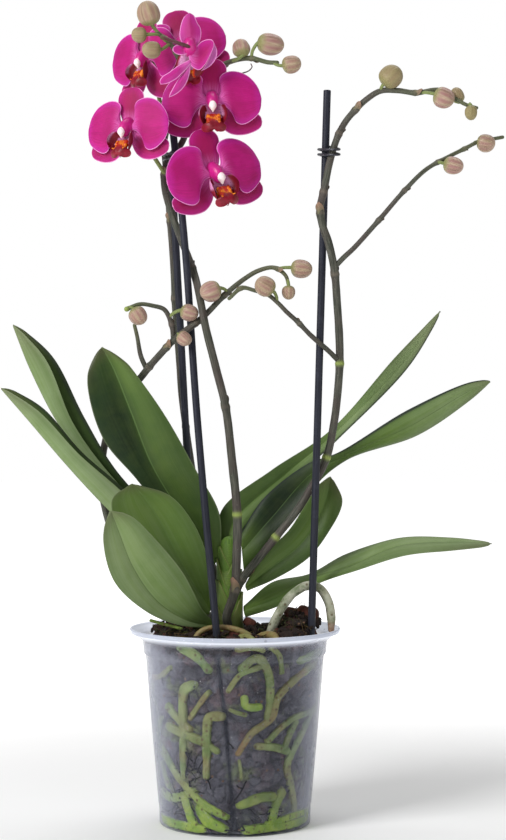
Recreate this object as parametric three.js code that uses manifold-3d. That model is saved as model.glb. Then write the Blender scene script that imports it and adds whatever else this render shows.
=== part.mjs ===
// A potted moth orchid in a clear plastic grower's pot, built from separate named pieces.
// Units are millimetres and +Z is up. The origin is the centre of the pot's base.
// The plant is seen from -Y: +X is to the viewer's right and +Y is away from the viewer.
import * as THREE from 'three';
import { mergeVertices } from 'three/addons/utils/BufferGeometryUtils.js';
import Module from 'manifold-3d';

const wasm = await Module();
wasm.setup();
const { Manifold } = wasm;

// ---------------------------------------------------------------- driving dimensions

const GAP = 0.35;                 // clearance between neighbouring pieces
const ROOT_GAP = 0.9;             // the same round the roots
const POT_HEIGHT = 111;           // base to the top of the rim
const POT_RIM_RADIUS = 60;        // a standard 12 cm orchid pot
const POT_BASE_RADIUS = 41.5;
const POT_WALL = 1.1;
const POT_FLOOR = 1.6;
const DRAIN_HOLES = { count: 8, radius: 3, circle: 27 };

const SOIL_BOTTOM = 2.1;
const SOIL_LEVEL = 106;           // the bark's mean level, just under the rim
const SOIL_INSET = 1.5;           // between the pot's inner wall and the bark's side
const CHIP_COUNT = 9;             // loose pieces of bark on top

const STAKE_RADIUS = 2.1;
const ROOT_RADIUS = 2.5;
const ROOT_INSET = 1;             // between a root and the pot's wall
const BRANCH_RADIUS = 1.5;
const PEDICEL_RADIUS = 1.1;
const CLIP_WIRE_RADIUS = 0.65;
const LEAF_THICKNESS = 1.7;       // at the base, on the midrib
const TEPAL_THICKNESS = 0.8;
const LIP_THICKNESS = 0.9;

const COLOURS = {
  pot: [0xd9dbe2, 0.25], soil: [0x3a2c26, 0.95], stake: [0x2b2d38, 0.6], clip: [0x23252f, 0.5],
  crown: [0x6f9440, 0.6], root: [0x8fa464, 0.7], aerial: [0xa9b49a, 0.75], stem: [0x515a48, 0.6],
  leaf: [0x4f7a3d, 0.45], paleLeaf: [0x7d9a6a, 0.5], tepal: [0xb81e7d, 0.5], lip: [0x7d1226, 0.45],
};

// ---------------------------------------------------------------- small tools

const vec = (p) => new THREE.Vector3(p[0], p[1], p[2]);
const spline = (points) => new THREE.CatmullRomCurve3(points.map(vec), false, 'centripetal');

// a repeatable random number from 0 to 1
function seeded(seed) {
  let state = seed;
  return () => {
    state = (state * 1664525 + 1013904223) % 4294967296;
    return state / 4294967296;
  };
}

// a closed triangle mesh as a solid that can be joined and cut
function solidOf(geometry) {
  const bare = geometry.clone();
  bare.deleteAttribute('normal');
  bare.deleteAttribute('uv');
  const merged = mergeVertices(bare, 1e-4);
  return new Manifold(new wasm.Mesh({
    numProp: 3,
    vertProperties: new Float32Array(merged.attributes.position.array),
    triVerts: new Uint32Array(merged.index.array),
  }));
}

function meshOf(solid, name, [colour, roughness], { tolerance = 0.08, ...look } = {}) {
  const result = solid.simplify(tolerance).getMesh();
  const geometry = new THREE.BufferGeometry();
  const positions = new Float32Array(result.vertProperties);
  geometry.setAttribute('position', new THREE.BufferAttribute(positions, 3));
  geometry.setIndex(new THREE.BufferAttribute(new Uint32Array(result.triVerts), 1));
  geometry.computeVertexNormals();
  const material = new THREE.MeshStandardMaterial({ color: colour, roughness, metalness: 0, ...look });
  const mesh = new THREE.Mesh(geometry, material);
  mesh.name = name;
  return mesh;
}

const joined = (solids) => Manifold.union(solids);
const without = (solid, cutters) => cutters.reduce((rest, cutter) => rest.subtract(cutter), solid);

// the largest piece of a solid, with loose scraps dropped
function mainPiece(solid) {
  return solid.decompose().reduce((a, b) => (b.volume() > a.volume() ? b : a));
}

function geometryOf(positions, index) {
  const geometry = new THREE.BufferGeometry();
  geometry.setAttribute('position', new THREE.BufferAttribute(new Float32Array(positions), 3));
  geometry.setIndex(index);
  return geometry;
}

// a tapering tube along a smooth line: radius is a number or a function of 0..1 along it
function tube(points, radius, { sides = 6, step = 9, grow = 0 } = {}) {
  const curve = spline(points);
  const rings = Math.max(2, Math.round(curve.getLength() / step));
  const frames = curve.computeFrenetFrames(rings, false);
  const positions = [];
  for (let i = 0; i <= rings; i += 1) {
    const centre = curve.getPointAt(i / rings);
    const size = (typeof radius === 'function' ? radius(i / rings) : radius) + grow;
    if (i === 0) centre.addScaledVector(frames.tangents[i], -grow);
    if (i === rings) centre.addScaledVector(frames.tangents[i], grow);
    for (let k = 0; k < sides; k += 1) {
      const angle = (2 * Math.PI * k) / sides;
      const spot = centre.clone()
        .addScaledVector(frames.normals[i], size * Math.cos(angle))
        .addScaledVector(frames.binormals[i], size * Math.sin(angle));
      positions.push(spot.x, spot.y, spot.z);
    }
  }
  const index = [];
  for (let i = 0; i < rings; i += 1) {
    for (let k = 0; k < sides; k += 1) {
      const a = i * sides + k;
      const b = i * sides + ((k + 1) % sides);
      index.push(a, b, b + sides, a, b + sides, a + sides);
    }
  }
  for (let k = 1; k < sides - 1; k += 1) {
    index.push(0, k + 1, k);
    const last = rings * sides;
    index.push(last, last + k, last + k + 1);
  }
  return solidOf(geometryOf(positions, index));
}

// a thin closed blade round a middle sheet: sheet(u, v) is a point, thickness(u, v) its full thickness;
// both faces are split into triangles along the same diagonals
function blade(sheet, thickness, rows, columns) {
  const spots = [];
  const small = 1e-3;
  for (let i = 0; i <= rows; i += 1) {
    const u = i / rows;
    for (let j = 0; j <= columns; j += 1) {
      const v = (2 * j) / columns - 1;
      const along = sheet(Math.min(1, u + small), v).sub(sheet(Math.max(0, u - small), v));
      const across = sheet(u, Math.min(1, v + small)).sub(sheet(u, Math.max(-1, v - small)));
      const normal = along.cross(across).normalize();
      spots.push({ middle: sheet(u, v), normal, half: thickness(u, v) / 2 });
    }
  }
  const positions = [];
  for (const side of [1, -1]) {
    for (const { middle, normal, half } of spots) {
      const spot = middle.clone().addScaledVector(normal, side * half);
      positions.push(spot.x, spot.y, spot.z);
    }
  }
  const width = columns + 1;
  const back = spots.length;
  const index = [];
  for (let i = 0; i < rows; i += 1) {
    for (let j = 0; j < columns; j += 1) {
      const a = i * width + j;
      const b = a + 1;
      const c = a + width;
      const d = c + 1;
      index.push(a, c, b, b, c, d);
      index.push(back + a, back + b, back + c, back + b, back + d, back + c);
    }
  }
  const rim = [];
  for (let j = 0; j < columns; j += 1) rim.push(j);
  for (let i = 0; i < rows; i += 1) rim.push(i * width + columns);
  for (let j = columns; j > 0; j -= 1) rim.push(rows * width + j);
  for (let i = rows; i > 0; i -= 1) rim.push(i * width);
  rim.forEach((a, k) => {
    const b = rim[(k + 1) % rim.length];
    index.push(a, b, back + b, a, back + b, back + a);
  });
  const solid = solidOf(geometryOf(positions, index));
  if (solid.volume() > 0) return solid;
  for (let k = 0; k < index.length; k += 3) [index[k], index[k + 1]] = [index[k + 1], index[k]];
  return solidOf(geometryOf(positions, index));
}

// an egg-shaped ball, its long axis along a direction
function egg(centre, direction, length, width, { sides = 6, rings = 4 } = {}) {
  const geometry = new THREE.SphereGeometry(0.5, sides, rings);
  geometry.scale(width, length, width);
  geometry.applyQuaternion(new THREE.Quaternion().setFromUnitVectors(
    new THREE.Vector3(0, 1, 0), vec(direction).normalize()));
  geometry.translate(...centre);
  return solidOf(geometry);
}

// ---------------------------------------------------------------- the pot

// the pot's wall is a straight taper between its foot band and its shoulder
const WALL_LOW = { z: 11, radius: 43.6 };
const WALL_HIGH = { z: 96, radius: 51 };
const WALL_SLOPE = (WALL_HIGH.radius - WALL_LOW.radius) / (WALL_HIGH.z - WALL_LOW.z);
const potRadius = (z) => WALL_LOW.radius + (z - WALL_LOW.z) * WALL_SLOPE;

// inner radius at a height, with the foot band's lighter taper below the wall
const potInside = (z) => (z < WALL_LOW.z ? 41.9 + z / WALL_LOW.z : potRadius(z) - POT_WALL);

function pot() {
  const outer = [
    [0, 0], [POT_BASE_RADIUS, 0], [43, 1.8], [43.3, 10.8], [potRadius(11.4), 11.4],
    [potRadius(96), 96], [52.2, 97.4], [52.6, 103.8], [58.6, 108.2],
    [POT_RIM_RADIUS, 108.5], [POT_RIM_RADIUS, POT_HEIGHT],
  ];
  const inner = [
    [58.8, POT_HEIGHT], [57.8, 109.4], [51.6, 104.6], [51.1, 98],
    [potInside(96), 96.4], [potInside(12), 12], [42, 3], [40.8, POT_FLOOR], [0, POT_FLOOR],
  ];
  const profile = [...outer, ...inner].map(([r, z]) => new THREE.Vector2(r, z));
  const turned = new THREE.LatheGeometry(profile, 28);
  turned.rotateX(Math.PI / 2);
  const holes = [];
  for (let k = 0; k < DRAIN_HOLES.count; k += 1) {
    const angle = ((k + 0.5) * 2 * Math.PI) / DRAIN_HOLES.count;
    const hole = new THREE.CylinderGeometry(DRAIN_HOLES.radius, DRAIN_HOLES.radius, 8, 6);
    hole.rotateX(Math.PI / 2);
    hole.translate(DRAIN_HOLES.circle * Math.cos(angle), DRAIN_HOLES.circle * Math.sin(angle), 0);
    holes.push(solidOf(hole));
  }
  return without(solidOf(turned), holes);
}

// ---------------------------------------------------------------- stakes and clips

const STAKES = {
  stake_left: [[-19, 22, 24], [-22.9, 21, 110], [-28.4, 20, 216], [-34.5, 18, 331], [-36.8, 17, 369]],
  stake_front: [
    [0.4, -37, 3], [-9.7, -32, 108.7], [-21, -18.5, 230], [-28.4, -7, 328.8], [-35.6, 1, 396],
  ],
  stake_right: [[42.1, -14.2, 76], [43.2, -14.5, 110], [52.1, -16, 415]],
};
const stake = (name, grow = 0) => tube(STAKES[name], STAKE_RADIUS, { sides: 8, step: 90, grow });

// the line of a wire clip: nearly two turns round a stake and a stem
function clipLine(stakeSpot, stemSpot, tilt) {
  const middle = vec(stakeSpot).lerp(vec(stemSpot), 0.5);
  const reach = vec(stemSpot).sub(vec(stakeSpot));
  const long = reach.length() / 2 + 4.6;
  const along = reach.normalize();
  const up = new THREE.Vector3(0, 0, 1);
  const side = up.clone().cross(along).normalize();
  const points = [];
  const turns = 12;
  for (let k = 0; k <= turns; k += 1) {
    const angle = Math.PI + ((k - 0.5) / (turns - 1)) * 3.6 * Math.PI;
    const spot = middle.clone()
      .addScaledVector(along, long * Math.cos(angle))
      .addScaledVector(side, 4.2 * Math.sin(angle))
      .addScaledVector(up, tilt * Math.cos(angle) + (k / turns - 0.5) * 5.6);
    points.push(spot.toArray());
  }
  return points;
}

// ---------------------------------------------------------------- roots

// roots on the pot's wall: each is a list of [angle from the front, height], the angle turning
// towards +X; the ones in front follow what shows through the wall
const WALL_ROOTS = [
  [[4, 95], [12, 98], [21, 88], [19, 70], [22, 60]],
  [[58, 93], [44, 86], [30, 79], [24, 66], [8, 52], [5, 40]],
  [[-24, 84], [-29, 66], [-30, 50], [-27, 30]],
  [[-40, 68], [-22, 60], [-18, 46], [-19, 32]],
  [[-51, 78], [-37, 68], [-24, 56], [-15, 51]],
  [[-68, 64], [-56, 46], [-42, 30], [-24, 14], [-12, 9]],
  [[64, 62], [48, 56], [38, 44], [33, 30], [36, 10]],
];
const BACK_ROOT_COUNT = 5;

function wallRoots() {
  const random = seeded(7);
  const roots = [...WALL_ROOTS];
  for (let k = 0; k < BACK_ROOT_COUNT; k += 1) {
    let angle = 105 + 45 * k;
    let z = 62 + 34 * random();
    const path = [[angle, z]];
    while (path.length < 5 && z > 18) {
      angle += 22 * (random() - 0.5);
      z -= 10 + 9 * random();
      path.push([angle, Math.max(6, z)]);
    }
    roots.push(path);
  }
  return roots;
}

const onWall = ([angle, z]) => {
  const r = potInside(z) - ROOT_INSET - ROOT_RADIUS;
  const turn = (angle * Math.PI) / 180;
  return [r * Math.sin(turn), -r * Math.cos(turn), z];
};

const ROOT_BALL = [-2, 0, 92];
const SURFACE_ROOTS = [
  [[-4, -4, 96], [-12, -18, 105], [-20, -30, 107], [-28, -36, 104.5]],
  [[-2, -4, 96], [0, -20, 106], [8, -34, 108.5], [13, -42, 104.5]],
  [[2, -4, 96], [14, -16, 107], [22, -28, 109], [24, -38, 105.5]],
];

function roots(grow = 0) {
  const parts = [egg(ROOT_BALL, [0, 0, 1], 18 + 2 * grow, 20 + 2 * grow, { sides: 7, rings: 4 })];
  for (const path of wallRoots()) {
    const unrolled = spline(path.map(([angle, z]) => [angle, z, 0]));
    const wall = unrolled.getPoints(2 * path.length).map((spot) => onWall([spot.x, spot.y]));
    const [first, second] = unrolled.getPoints(2 * path.length);
    const before = first.clone().lerp(second, -0.7);
    const [x, y, z] = onWall([before.x, before.y]);
    const route = [ROOT_BALL, [x * 0.5, y * 0.5, z * 0.4 + 53], [x * 0.87, y * 0.87, z], ...wall];
    parts.push(tube(route, (t) => ROOT_RADIUS * (t > 0.97 ? 0.7 : 1), { sides: 5, step: 22, grow }));
  }
  for (const path of SURFACE_ROOTS) {
    parts.push(tube(path, (t) => ROOT_RADIUS * (1 - 0.25 * t), { sides: 5, step: 12, grow }));
  }
  return joined(parts);
}

// the root that arches through the air and hangs its tip over the rim
const AERIAL_ROOT = [
  [18, -9, 99], [20, -9.5, 108], [25, -9.5, 120], [33, -9.5, 131], [41, -9.5, 135.4],
  [48, -9.5, 134], [53, -9.5, 126.5], [54.6, -9.5, 118], [54.6, -9.5, 110.6],
];
const aerialRoot = (grow = 0) => tube(
  AERIAL_ROOT, (t) => (t > 0.96 ? 1.5 : ROOT_RADIUS), { sides: 6, step: 6.5, grow });

// ---------------------------------------------------------------- leaves

// every leaf is a sheet between two edges and a midrib, each a smooth line from base to tip
const LEAVES = {
  leaf_left_front: {
    left: [
      [-14, -9, 111], [-30, -21, 114], [-49, -32, 123], [-66, -39, 140], [-72, -43, 163],
      [-70, -43, 178],
    ],
    rib: [
      [-13, -8, 112.5], [-27, -17, 117], [-43, -26, 128], [-56, -33, 147], [-64, -38, 168],
      [-68, -41, 179.5],
    ],
    right: [
      [-12, -7, 115], [-18, -20, 123], [-29, -30, 145], [-44, -37, 164], [-56, -41, 176],
      [-66, -42, 180],
    ],
  },
  leaf_left_olive: {
    left: [
      [-15, -4, 118], [-28, -9, 126], [-47, -14, 141], [-63, -18, 162], [-69, -20, 184],
      [-62, -19, 192],
    ],
    rib: [
      [-14, -3, 121], [-22, -5, 134], [-32, -9, 152], [-42, -12, 172], [-51, -15, 186],
      [-58, -17, 193.5],
    ],
    right: [
      [-12, -4, 124], [-13, -9, 137], [-16, -14, 154], [-23, -18, 171], [-35, -20, 186],
      [-54, -18, 193],
    ],
  },
  leaf_left_tall: {
    left: [[-12, 4, 146], [-34, 3, 166], [-56, 1, 195], [-75, -1, 218], [-84, -2, 249], [-79, -1, 269]],
    rib: [[-10, 4, 149], [-28, 6, 172], [-47, 6, 202], [-60, 4, 235], [-70, 2, 260], [-76, 0, 271]],
    right: [[-8, 3, 152], [-9, 2, 176], [-23, 1, 202], [-40, -1, 233], [-58, -2, 260], [-72, -1, 270]],
  },
  leaf_left_high: {
    left: [
      [-15, 6, 133], [-46, 14, 169], [-72, 16, 197], [-94, 16, 228], [-110, 17, 264],
      [-128, 24, 285],
    ],
    rib: [
      [-16, 9, 132], [-49, 19, 167], [-76, 22, 194], [-101, 23, 224], [-119, 24, 258],
      [-130, 26, 285],
    ],
    right: [
      [-13, 11, 135], [-43, 20, 171], [-69, 23, 199], [-88, 24, 231], [-107, 26, 266],
      [-128, 27, 286],
    ],
  },
  leaf_left_low: {
    left: [[-15, 4, 126], [-40, 8, 158], [-64, 5, 187], [-90, 0, 211], [-112, -3, 234], [-132, 1, 248]],
    rib: [
      [-17, 7, 124], [-46, 10, 153], [-74, 11, 179], [-97, 9, 204], [-118, 5, 229],
      [-134, 3, 247.5],
    ],
    right: [
      [-14, 9, 127], [-40, 11, 159], [-63, 10, 188], [-89, 10, 212], [-111, 9, 236],
      [-131, 4, 249],
    ],
  },
  leaf_right_high: {
    left: [[-9, 7, 156], [-8, 12, 177], [21, 20, 200], [56, 24, 224], [94, 30, 266], [118, 29, 292]],
    rib: [[-5, 6, 153], [-1, 11, 170], [30, 17, 198], [58, 22, 221], [98, 26, 262], [120, 28, 293]],
    right: [[-3, 4, 150], [4, 8, 165], [38, 13, 198], [60, 12, 219], [100, 15, 259], [120, 27, 291]],
  },
  leaf_right_middle: {
    left: [
      [3, 4, 164], [16, 6, 184], [41, 8, 203.5], [61, 2, 211.5], [98, -8, 235], [130, -16, 250],
      [143, -16, 252],
    ],
    rib: [
      [4, 2, 154], [22, 5, 174], [44, 6, 198], [63, 4, 209], [101, -4, 227], [132, -13, 246],
      [144, -15, 251],
    ],
    right: [
      [5, 0, 143], [30, -1, 167.5], [48, 1, 193.5], [65, 7, 206.5], [104, 5, 220], [134, -7, 241],
      [144, -14, 250],
    ],
  },
  leaf_right_paddle: {
    left: [[6, -5, 136], [14, -5, 150], [31, -4, 167], [41, -3, 181], [48, -3, 193], [53, -3, 197]],
    rib: [[6, -4, 134], [19, -3, 144], [36, -2, 157], [46, -1, 170], [54, -1, 184], [57, -2, 196]],
    right: [[7, -5, 132], [23, -6, 139], [42, -5, 151], [52, -5, 166], [60, -5, 180], [60, -4, 192]],
  },
  leaf_right_low: {
    left: [
      [5, 2, 123], [21, 8, 136], [43, 14, 140], [64, 14, 152], [93, 8, 161], [122, -4, 162],
      [143, -20, 161],
    ],
    rib: [
      [5, -2, 120], [24, 2, 127], [45, 4, 138], [66, 0, 145], [93, -8, 157], [122, -16, 160],
      [144, -22, 160],
    ],
    right: [
      [6, -5, 117], [26, -4, 124], [46, -4, 135], [68, -12, 144], [94, -22, 153], [121, -26, 156],
      [143, -25, 159],
    ],
  },
};
const PALE_LEAVES = ['leaf_left_high', 'leaf_left_low', 'leaf_right_middle', 'leaf_right_low'];

function leaf(name, grow = 0) {
  const { left, rib, right } = LEAVES[name];
  const rails = [spline(left), spline(rib), spline(right)];
  const sheet = (u, v) => {
    const [a, m, b] = rails.map((rail) => rail.getPoint(u));
    const edge = v < 0 ? a : b;
    const spread = Math.abs(v) * (1 + grow / 8);
    const back = rails[1].getTangent(0).multiplyScalar(-1.6 * grow * (1 - u) ** 9);
    return m.lerp(edge, spread).add(back);
  };
  const thickness = (u, v) => {
    const tip = 1 - 0.35 * u;
    return LEAF_THICKNESS * tip * (1 - 0.45 * v * v) + 2 * grow;
  };
  return blade(sheet, thickness, 9, 4);
}

// ---------------------------------------------------------------- flower spikes

// a spike: its main line, its radius at the foot, in the middle and at the tip, its nodes as shares
// of its length, its branches, and its buds, each as
// [centre, direction, length, width, where its stalk leaves]
const SPIKES = {
  spike_front: {
    line: [
      [-3.5, -6, 112], [-4.5, -11, 118], [-0.1, -17, 132.5], [1.3, -20, 156.4], [1.5, -21, 176],
      [-1.5, -22.5, 207], [-5.1, -23, 236.6], [-10.4, -23, 258], [-16.2, -23, 281], [-18.4, -20, 292],
      [-20.2, -13.5, 300.5], [-22.2, -6, 309], [-25.5, -1, 319], [-30.5, 4, 332], [-36.1, 5.5, 347],
      [-40.1, 5.5, 361], [-40.6, 5.5, 371], [-37.5, 6, 380], [-31, 7, 388], [-27, 7.5, 398],
      [-23, 7, 412], [-17, 5, 424],
      [-8.6, 2, 431.5], [0.6, -2, 434.6], [9.7, -5, 435], [18.8, -7, 432.4], [24, -8, 432],
    ],
    radius: [2.5, 2.15, 1.2],
    nodes: [0.18, 0.42, 0.62],
    branches: [],
    buds: [
      [[3.6, -5, 441], [0.2, -0.5, -1], 10.6, 10, [-2, -2, 434.4]],
      [[20.4, -7, 442.8], [-1, -0.3, 0.1], 15.6, 12.2, [9, -4.6, 435]],
      [[32.2, -9, 431], [-1, 0, -0.2], 11, 10, [22, -7.8, 432]],
    ],
  },
  spike_back: {
    line: [
      [-6, 6, 130], [-12, 14, 142], [-20, 25, 165], [-24.5, 27, 195], [-28, 26.5, 218], [-31.1, 26, 241],
      [-33.3, 25.5, 270], [-35.1, 24, 293], [-36, 23.5, 316], [-38, 22, 345], [-40, 20, 370],
      [-41, 16, 392], [-37, 9, 408], [-31.5, 2, 419], [-30.5, -3, 429], [-33.5, -6.5, 438],
      [-38, -9.5, 444], [-43.5, -12, 448],
    ],
    radius: [2.1, 1.95, 1.2],
    nodes: [0.25, 0.5],
    branches: [],
    buds: [
      [[-48.6, -15, 458.6], [0.3, 0.2, -1], 14, 12.8, [-39.5, -10, 445]],
      [[-54, -14, 446.8], [1, 0, 0], 8.6, 8.6, [-43, -11.8, 447.6]],
      [[-47, -13.5, 438.4], [1, 0.2, 0], 10.8, 9.6, [-37.5, -9, 443]],
    ],
  },
  spike_right: {
    line: [
      [-1, -4, 128], [4.6, -6.5, 139.5], [12.6, -8, 149.7], [22.8, -9.5, 162.4], [34.6, -9.6, 177.2],
      [42.6, -9.6, 189.7], [49.4, -9.6, 202], [52.8, -10, 211], [56.3, -11, 229], [58, -12, 243.5],
      [59.2, -12.5, 261.7], [59, -13.5, 274.8], [57.6, -17, 295], [55.9, -20, 313.6], [52.5, -21.5, 329],
      [49.1, -22, 338.7], [47.9, -22, 347.8], [50.2, -22, 358.5], [53.5, -22, 374.4], [57.5, -21, 387.3],
      [61.9, -20, 396.1], [67.4, -20, 402.8], [73.9, -21, 408.9], [81.6, -23, 413.3], [91.3, -25, 413.2],
      [101.2, -27, 411.6], [114.2, -30, 412.7], [121.8, -32, 407.9], [128.8, -34, 403.7], [134, -35, 402],
    ],
    radius: [2.3, 2.2, 1],
    nodes: [0.1, 0.24, 0.4, 0.56, 0.64, 0.74],
    branches: [
      [[58.6, -12.6, 262.8], [53, -18, 268], [47.5, -22, 272.5], [42.3, -23.5, 277], [35.7, -24, 283.8],
        [29.2, -25, 289.6], [24.3, -25.5, 294.6], [18.7, -25, 299.2], [10.9, -25, 301.7],
        [4.2, -24.6, 303.1], [-3, -24.6, 297.2]],
      [[55.8, -20, 314.7], [61.4, -20, 320.6], [66.6, -20, 325.4], [80.3, -21, 340.6], [94.9, -22, 357.5],
        [107.3, -21, 369.7], [121, -18, 377.7], [129.1, -16, 381.9], [138.4, -14, 386.7],
        [145.4, -12, 388.1], [152.6, -11, 389.4]],
    ],
    buds: [
      [[87.5, -25, 422], [-0.4, 0, -1], 14.6, 13.4, [82, -23, 413.4]],
      [[116.2, -33, 408], [-1, 0, 0.4], 12, 11.4, [104, -27.6, 411.6]],
      [[124, -29, 410], [0.4, 0, -1], 9, 7.4, [120, -31.4, 408.6]],
      [[130.8, -36.6, 399], [0, 0, 1], 8.2, 6.8, [129.6, -34.2, 403.3]],
      [[122.6, -21.6, 372], [-1, 0, 0.2], 11.4, 9.8, [113.5, -20, 374.3]],
      [[141.6, -15.6, 385.4], [-1, 0.3, 0.2], 10.4, 10, [136, -14.6, 385.4]],
      [[17, -27.4, 304], [0.9, 0.2, -0.5], 11.6, 11.2, [23.6, -25.4, 295.2]],
    ],
  },
  spike_left: {
    line: [
      [-7, 3, 113], [-14, 8, 116.5], [-28, 15, 121], [-48, 25, 133], [-68, 32, 154], [-77, 34, 178],
      [-79, 34, 198], [-76.2, 31, 218], [-69, 24, 236], [-60.8, 16, 247], [-53.8, 9, 254.5],
      [-49.5, 4, 259.5],
      [-42.7, -6, 266.3], [-36.1, -14, 272.7], [-29.8, -18, 277.9], [-23, -17.9, 282.9], [-16, -16, 289],
      [-7.3, -15, 298.1], [-1, -14.6, 303.8], [6.2, -15, 309.3], [13, -16, 313.2], [21, -18, 315],
      [25.5, -19, 313.3], [29, -20, 309.6], [30, -20.4, 305.6],
    ],
    radius: [2.2, 2.1, 1],
    nodes: [0.4, 0.62, 0.78],
    branches: [
      [[-50.6, 5.4, 258.2], [-54, 4.4, 266], [-56, 3, 277], [-57.5, 2, 283.5]],
      [[-34.5, -13.4, 274.4], [-35.5, -15, 283], [-39.5, -16, 291.4], [-46, -17, 293.6], [-53.5, -18, 294.4],
        [-60.6, -19, 291.6]],
    ],
    buds: [
      [[-54, -19.4, 287.8], [-0.6, 0, 0.9], 10.6, 10, [-60, -19, 291.8]],
      [[-25.4, -19, 289.6], [-1, 0, 0.3], 10.4, 9.4, [-37, -15.6, 287]],
      [[-28.2, -20, 275], [-0.8, 0.3, 0.6], 8.8, 8, [-31, -14.6, 277]],
      [[-13.6, -19.6, 301.6], [1, 0.2, 0.4], 12, 11.6, [-4, -14, 301]],
      [[37.6, -18.4, 314.4], [-1, 0, 0.1], 12.2, 10.2, [24, -18.6, 314.4]],
      [[30.2, -23, 300.6], [0, 0, 1], 8, 7.4, [29.6, -20.2, 307.6]],
    ],
  },
};

// a spike's radius along its length: it narrows toward the tip and swells at its nodes
function taper([start, middle, end], nodes) {
  return (t) => {
    const base = t < 0.5
      ? start + (middle - start) * 2 * t
      : middle + (end - middle) * (2 * t - 1) ** 2;
    const swell = nodes.reduce((sum, at) => sum + 0.45 * Math.exp(-(((t - at) / 0.008) ** 2)), 0);
    return base + swell;
  };
}

// the small pointed sheath that hugs a spike at one of its nodes
function bract(curve, at, radius, side) {
  const spot = curve.getPointAt(at);
  const along = curve.getTangentAt(at);
  const out = new THREE.Vector3(side, -0.5, 0).cross(along).cross(along).negate().normalize();
  const centre = spot.clone().addScaledVector(out, radius * 0.75).addScaledVector(along, 1.6);
  return egg(centre.toArray(), along.toArray(), 7, 2.6, { sides: 4, rings: 3 });
}

// the place on any of several lines that is nearest to a spot
function nearest(lines, spot) {
  const places = lines.flatMap((points) => spline(points).getSpacedPoints(120));
  return places.reduce((a, b) => (b.distanceTo(spot) < a.distanceTo(spot) ? b : a));
}

function spike(name, grow = 0) {
  const { line, radius, nodes, branches, buds } = SPIKES[name];
  const parts = [tube(line, taper(radius, nodes), { sides: 5, step: 10.5, grow })];
  for (const branch of branches) {
    parts.push(tube(branch, (t) => BRANCH_RADIUS * (1 - 0.3 * t), { sides: 5, step: 15, grow }));
  }
  for (const [centre, direction, length, width, stalk] of buds) {
    const toward = vec(direction).normalize();
    const neck = vec(centre).addScaledVector(toward, length * 0.42);
    const bend = neck.clone().lerp(vec(stalk), 0.5).addScaledVector(toward, 1.2);
    const start = nearest([line, ...branches], vec(stalk));
    const route = [start.toArray(), bend.toArray(), neck.toArray(), centre];
    parts.push(tube(route, PEDICEL_RADIUS, { sides: 4, step: 6, grow }));
    parts.push(egg(centre, direction, length + 2 * grow, width + 2 * grow, { sides: 6, rings: 4 }));
  }
  if (grow === 0) {
    const curve = spline(line);
    nodes.forEach((at, k) => parts.push(bract(curve, at, radius[1], k % 2 ? 1 : -1)));
  }
  return parts;
}

// ---------------------------------------------------------------- blooms

// a bloom faces along its own +Z with +Y up; facing turns it to the side (yaw) and up (pitch), roll last;
// hang is how many degrees its two lower sepals droop below their usual place
const BLOOMS = {
  bloom_centre: { at: [-12.8, -10, 409.6], yaw: 2, pitch: 2, roll: 3, size: 1, stalk: [-24, 7, 408] },
  bloom_low: {
    at: [-11.7, -17, 368], yaw: 26, pitch: 5, roll: 14, size: 1.07, stalk: [-40.4, 5.5, 364],
    via: [[-34, 5, 370], [-26, 2, 371]],
  },
  bloom_left: { at: [-60, -14, 394], yaw: -30, pitch: 4, roll: 0, size: 0.98, stalk: [-40.6, 4, 371] },
  bloom_far_left: {
    at: [-52, 16.5, 439], yaw: -42, pitch: 0, roll: 3, size: 0.95, stalk: [-40.4, 19, 377], hang: 22,
  },
  bloom_top: { at: [-31.4, 28, 448.3], yaw: -6, pitch: 12, roll: 12, size: 0.96, stalk: [-40.8, 16.6, 390] },
  bloom_turned: {
    at: [-25, -24, 437], yaw: 180, pitch: 0, roll: 0, size: 1, stalk: [-41.5, -11, 446.6],
    via: [[-38, -20, 443.2], [-33, -27, 440]],
  },
};

// tepals of a bloom: direction in degrees, length, greatest half width, and how far in front of the
// bloom's middle plane they lie; broad sets how near the tip the width is greatest
const TEPALS = [
  { turn: 88, length: 25, half: 9, lift: -1.3, broad: 0.62 },
  { turn: 212, length: 29, half: 9, lift: -1.3, broad: 0.57 },
  { turn: 328, length: 29, half: 9, lift: -1.3, broad: 0.57 },
  { turn: 175, length: 28.5, half: 15, lift: 1.3, broad: 0.52 },
  { turn: 5, length: 28.5, half: 15, lift: 1.3, broad: 0.52 },
];
// the bloom that shows its back has folded, narrower tepals
const FOLDED_TEPALS = [
  { turn: 88, length: 25, half: 6.5, lift: -1.3, broad: 0.6 },
  { turn: 322, length: 20, half: 4.5, lift: -1.3, broad: 0.6 },
  { turn: 297, length: 26, half: 4.5, lift: 1.3, broad: 0.6 },
  { turn: 12, length: 11, half: 4.5, lift: 1.3, broad: 0.6 },
  { turn: 165, length: 17, half: 8, lift: 1.3, broad: 0.6 },
];
function tepalsOf(name) {
  if (name === 'bloom_turned') return FOLDED_TEPALS;
  const { hang = 0 } = BLOOMS[name];
  return TEPALS.map((one, k) => ({ ...one, turn: one.turn + hang * [0, 1, -1, 0, 0][k] }));
}

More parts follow.
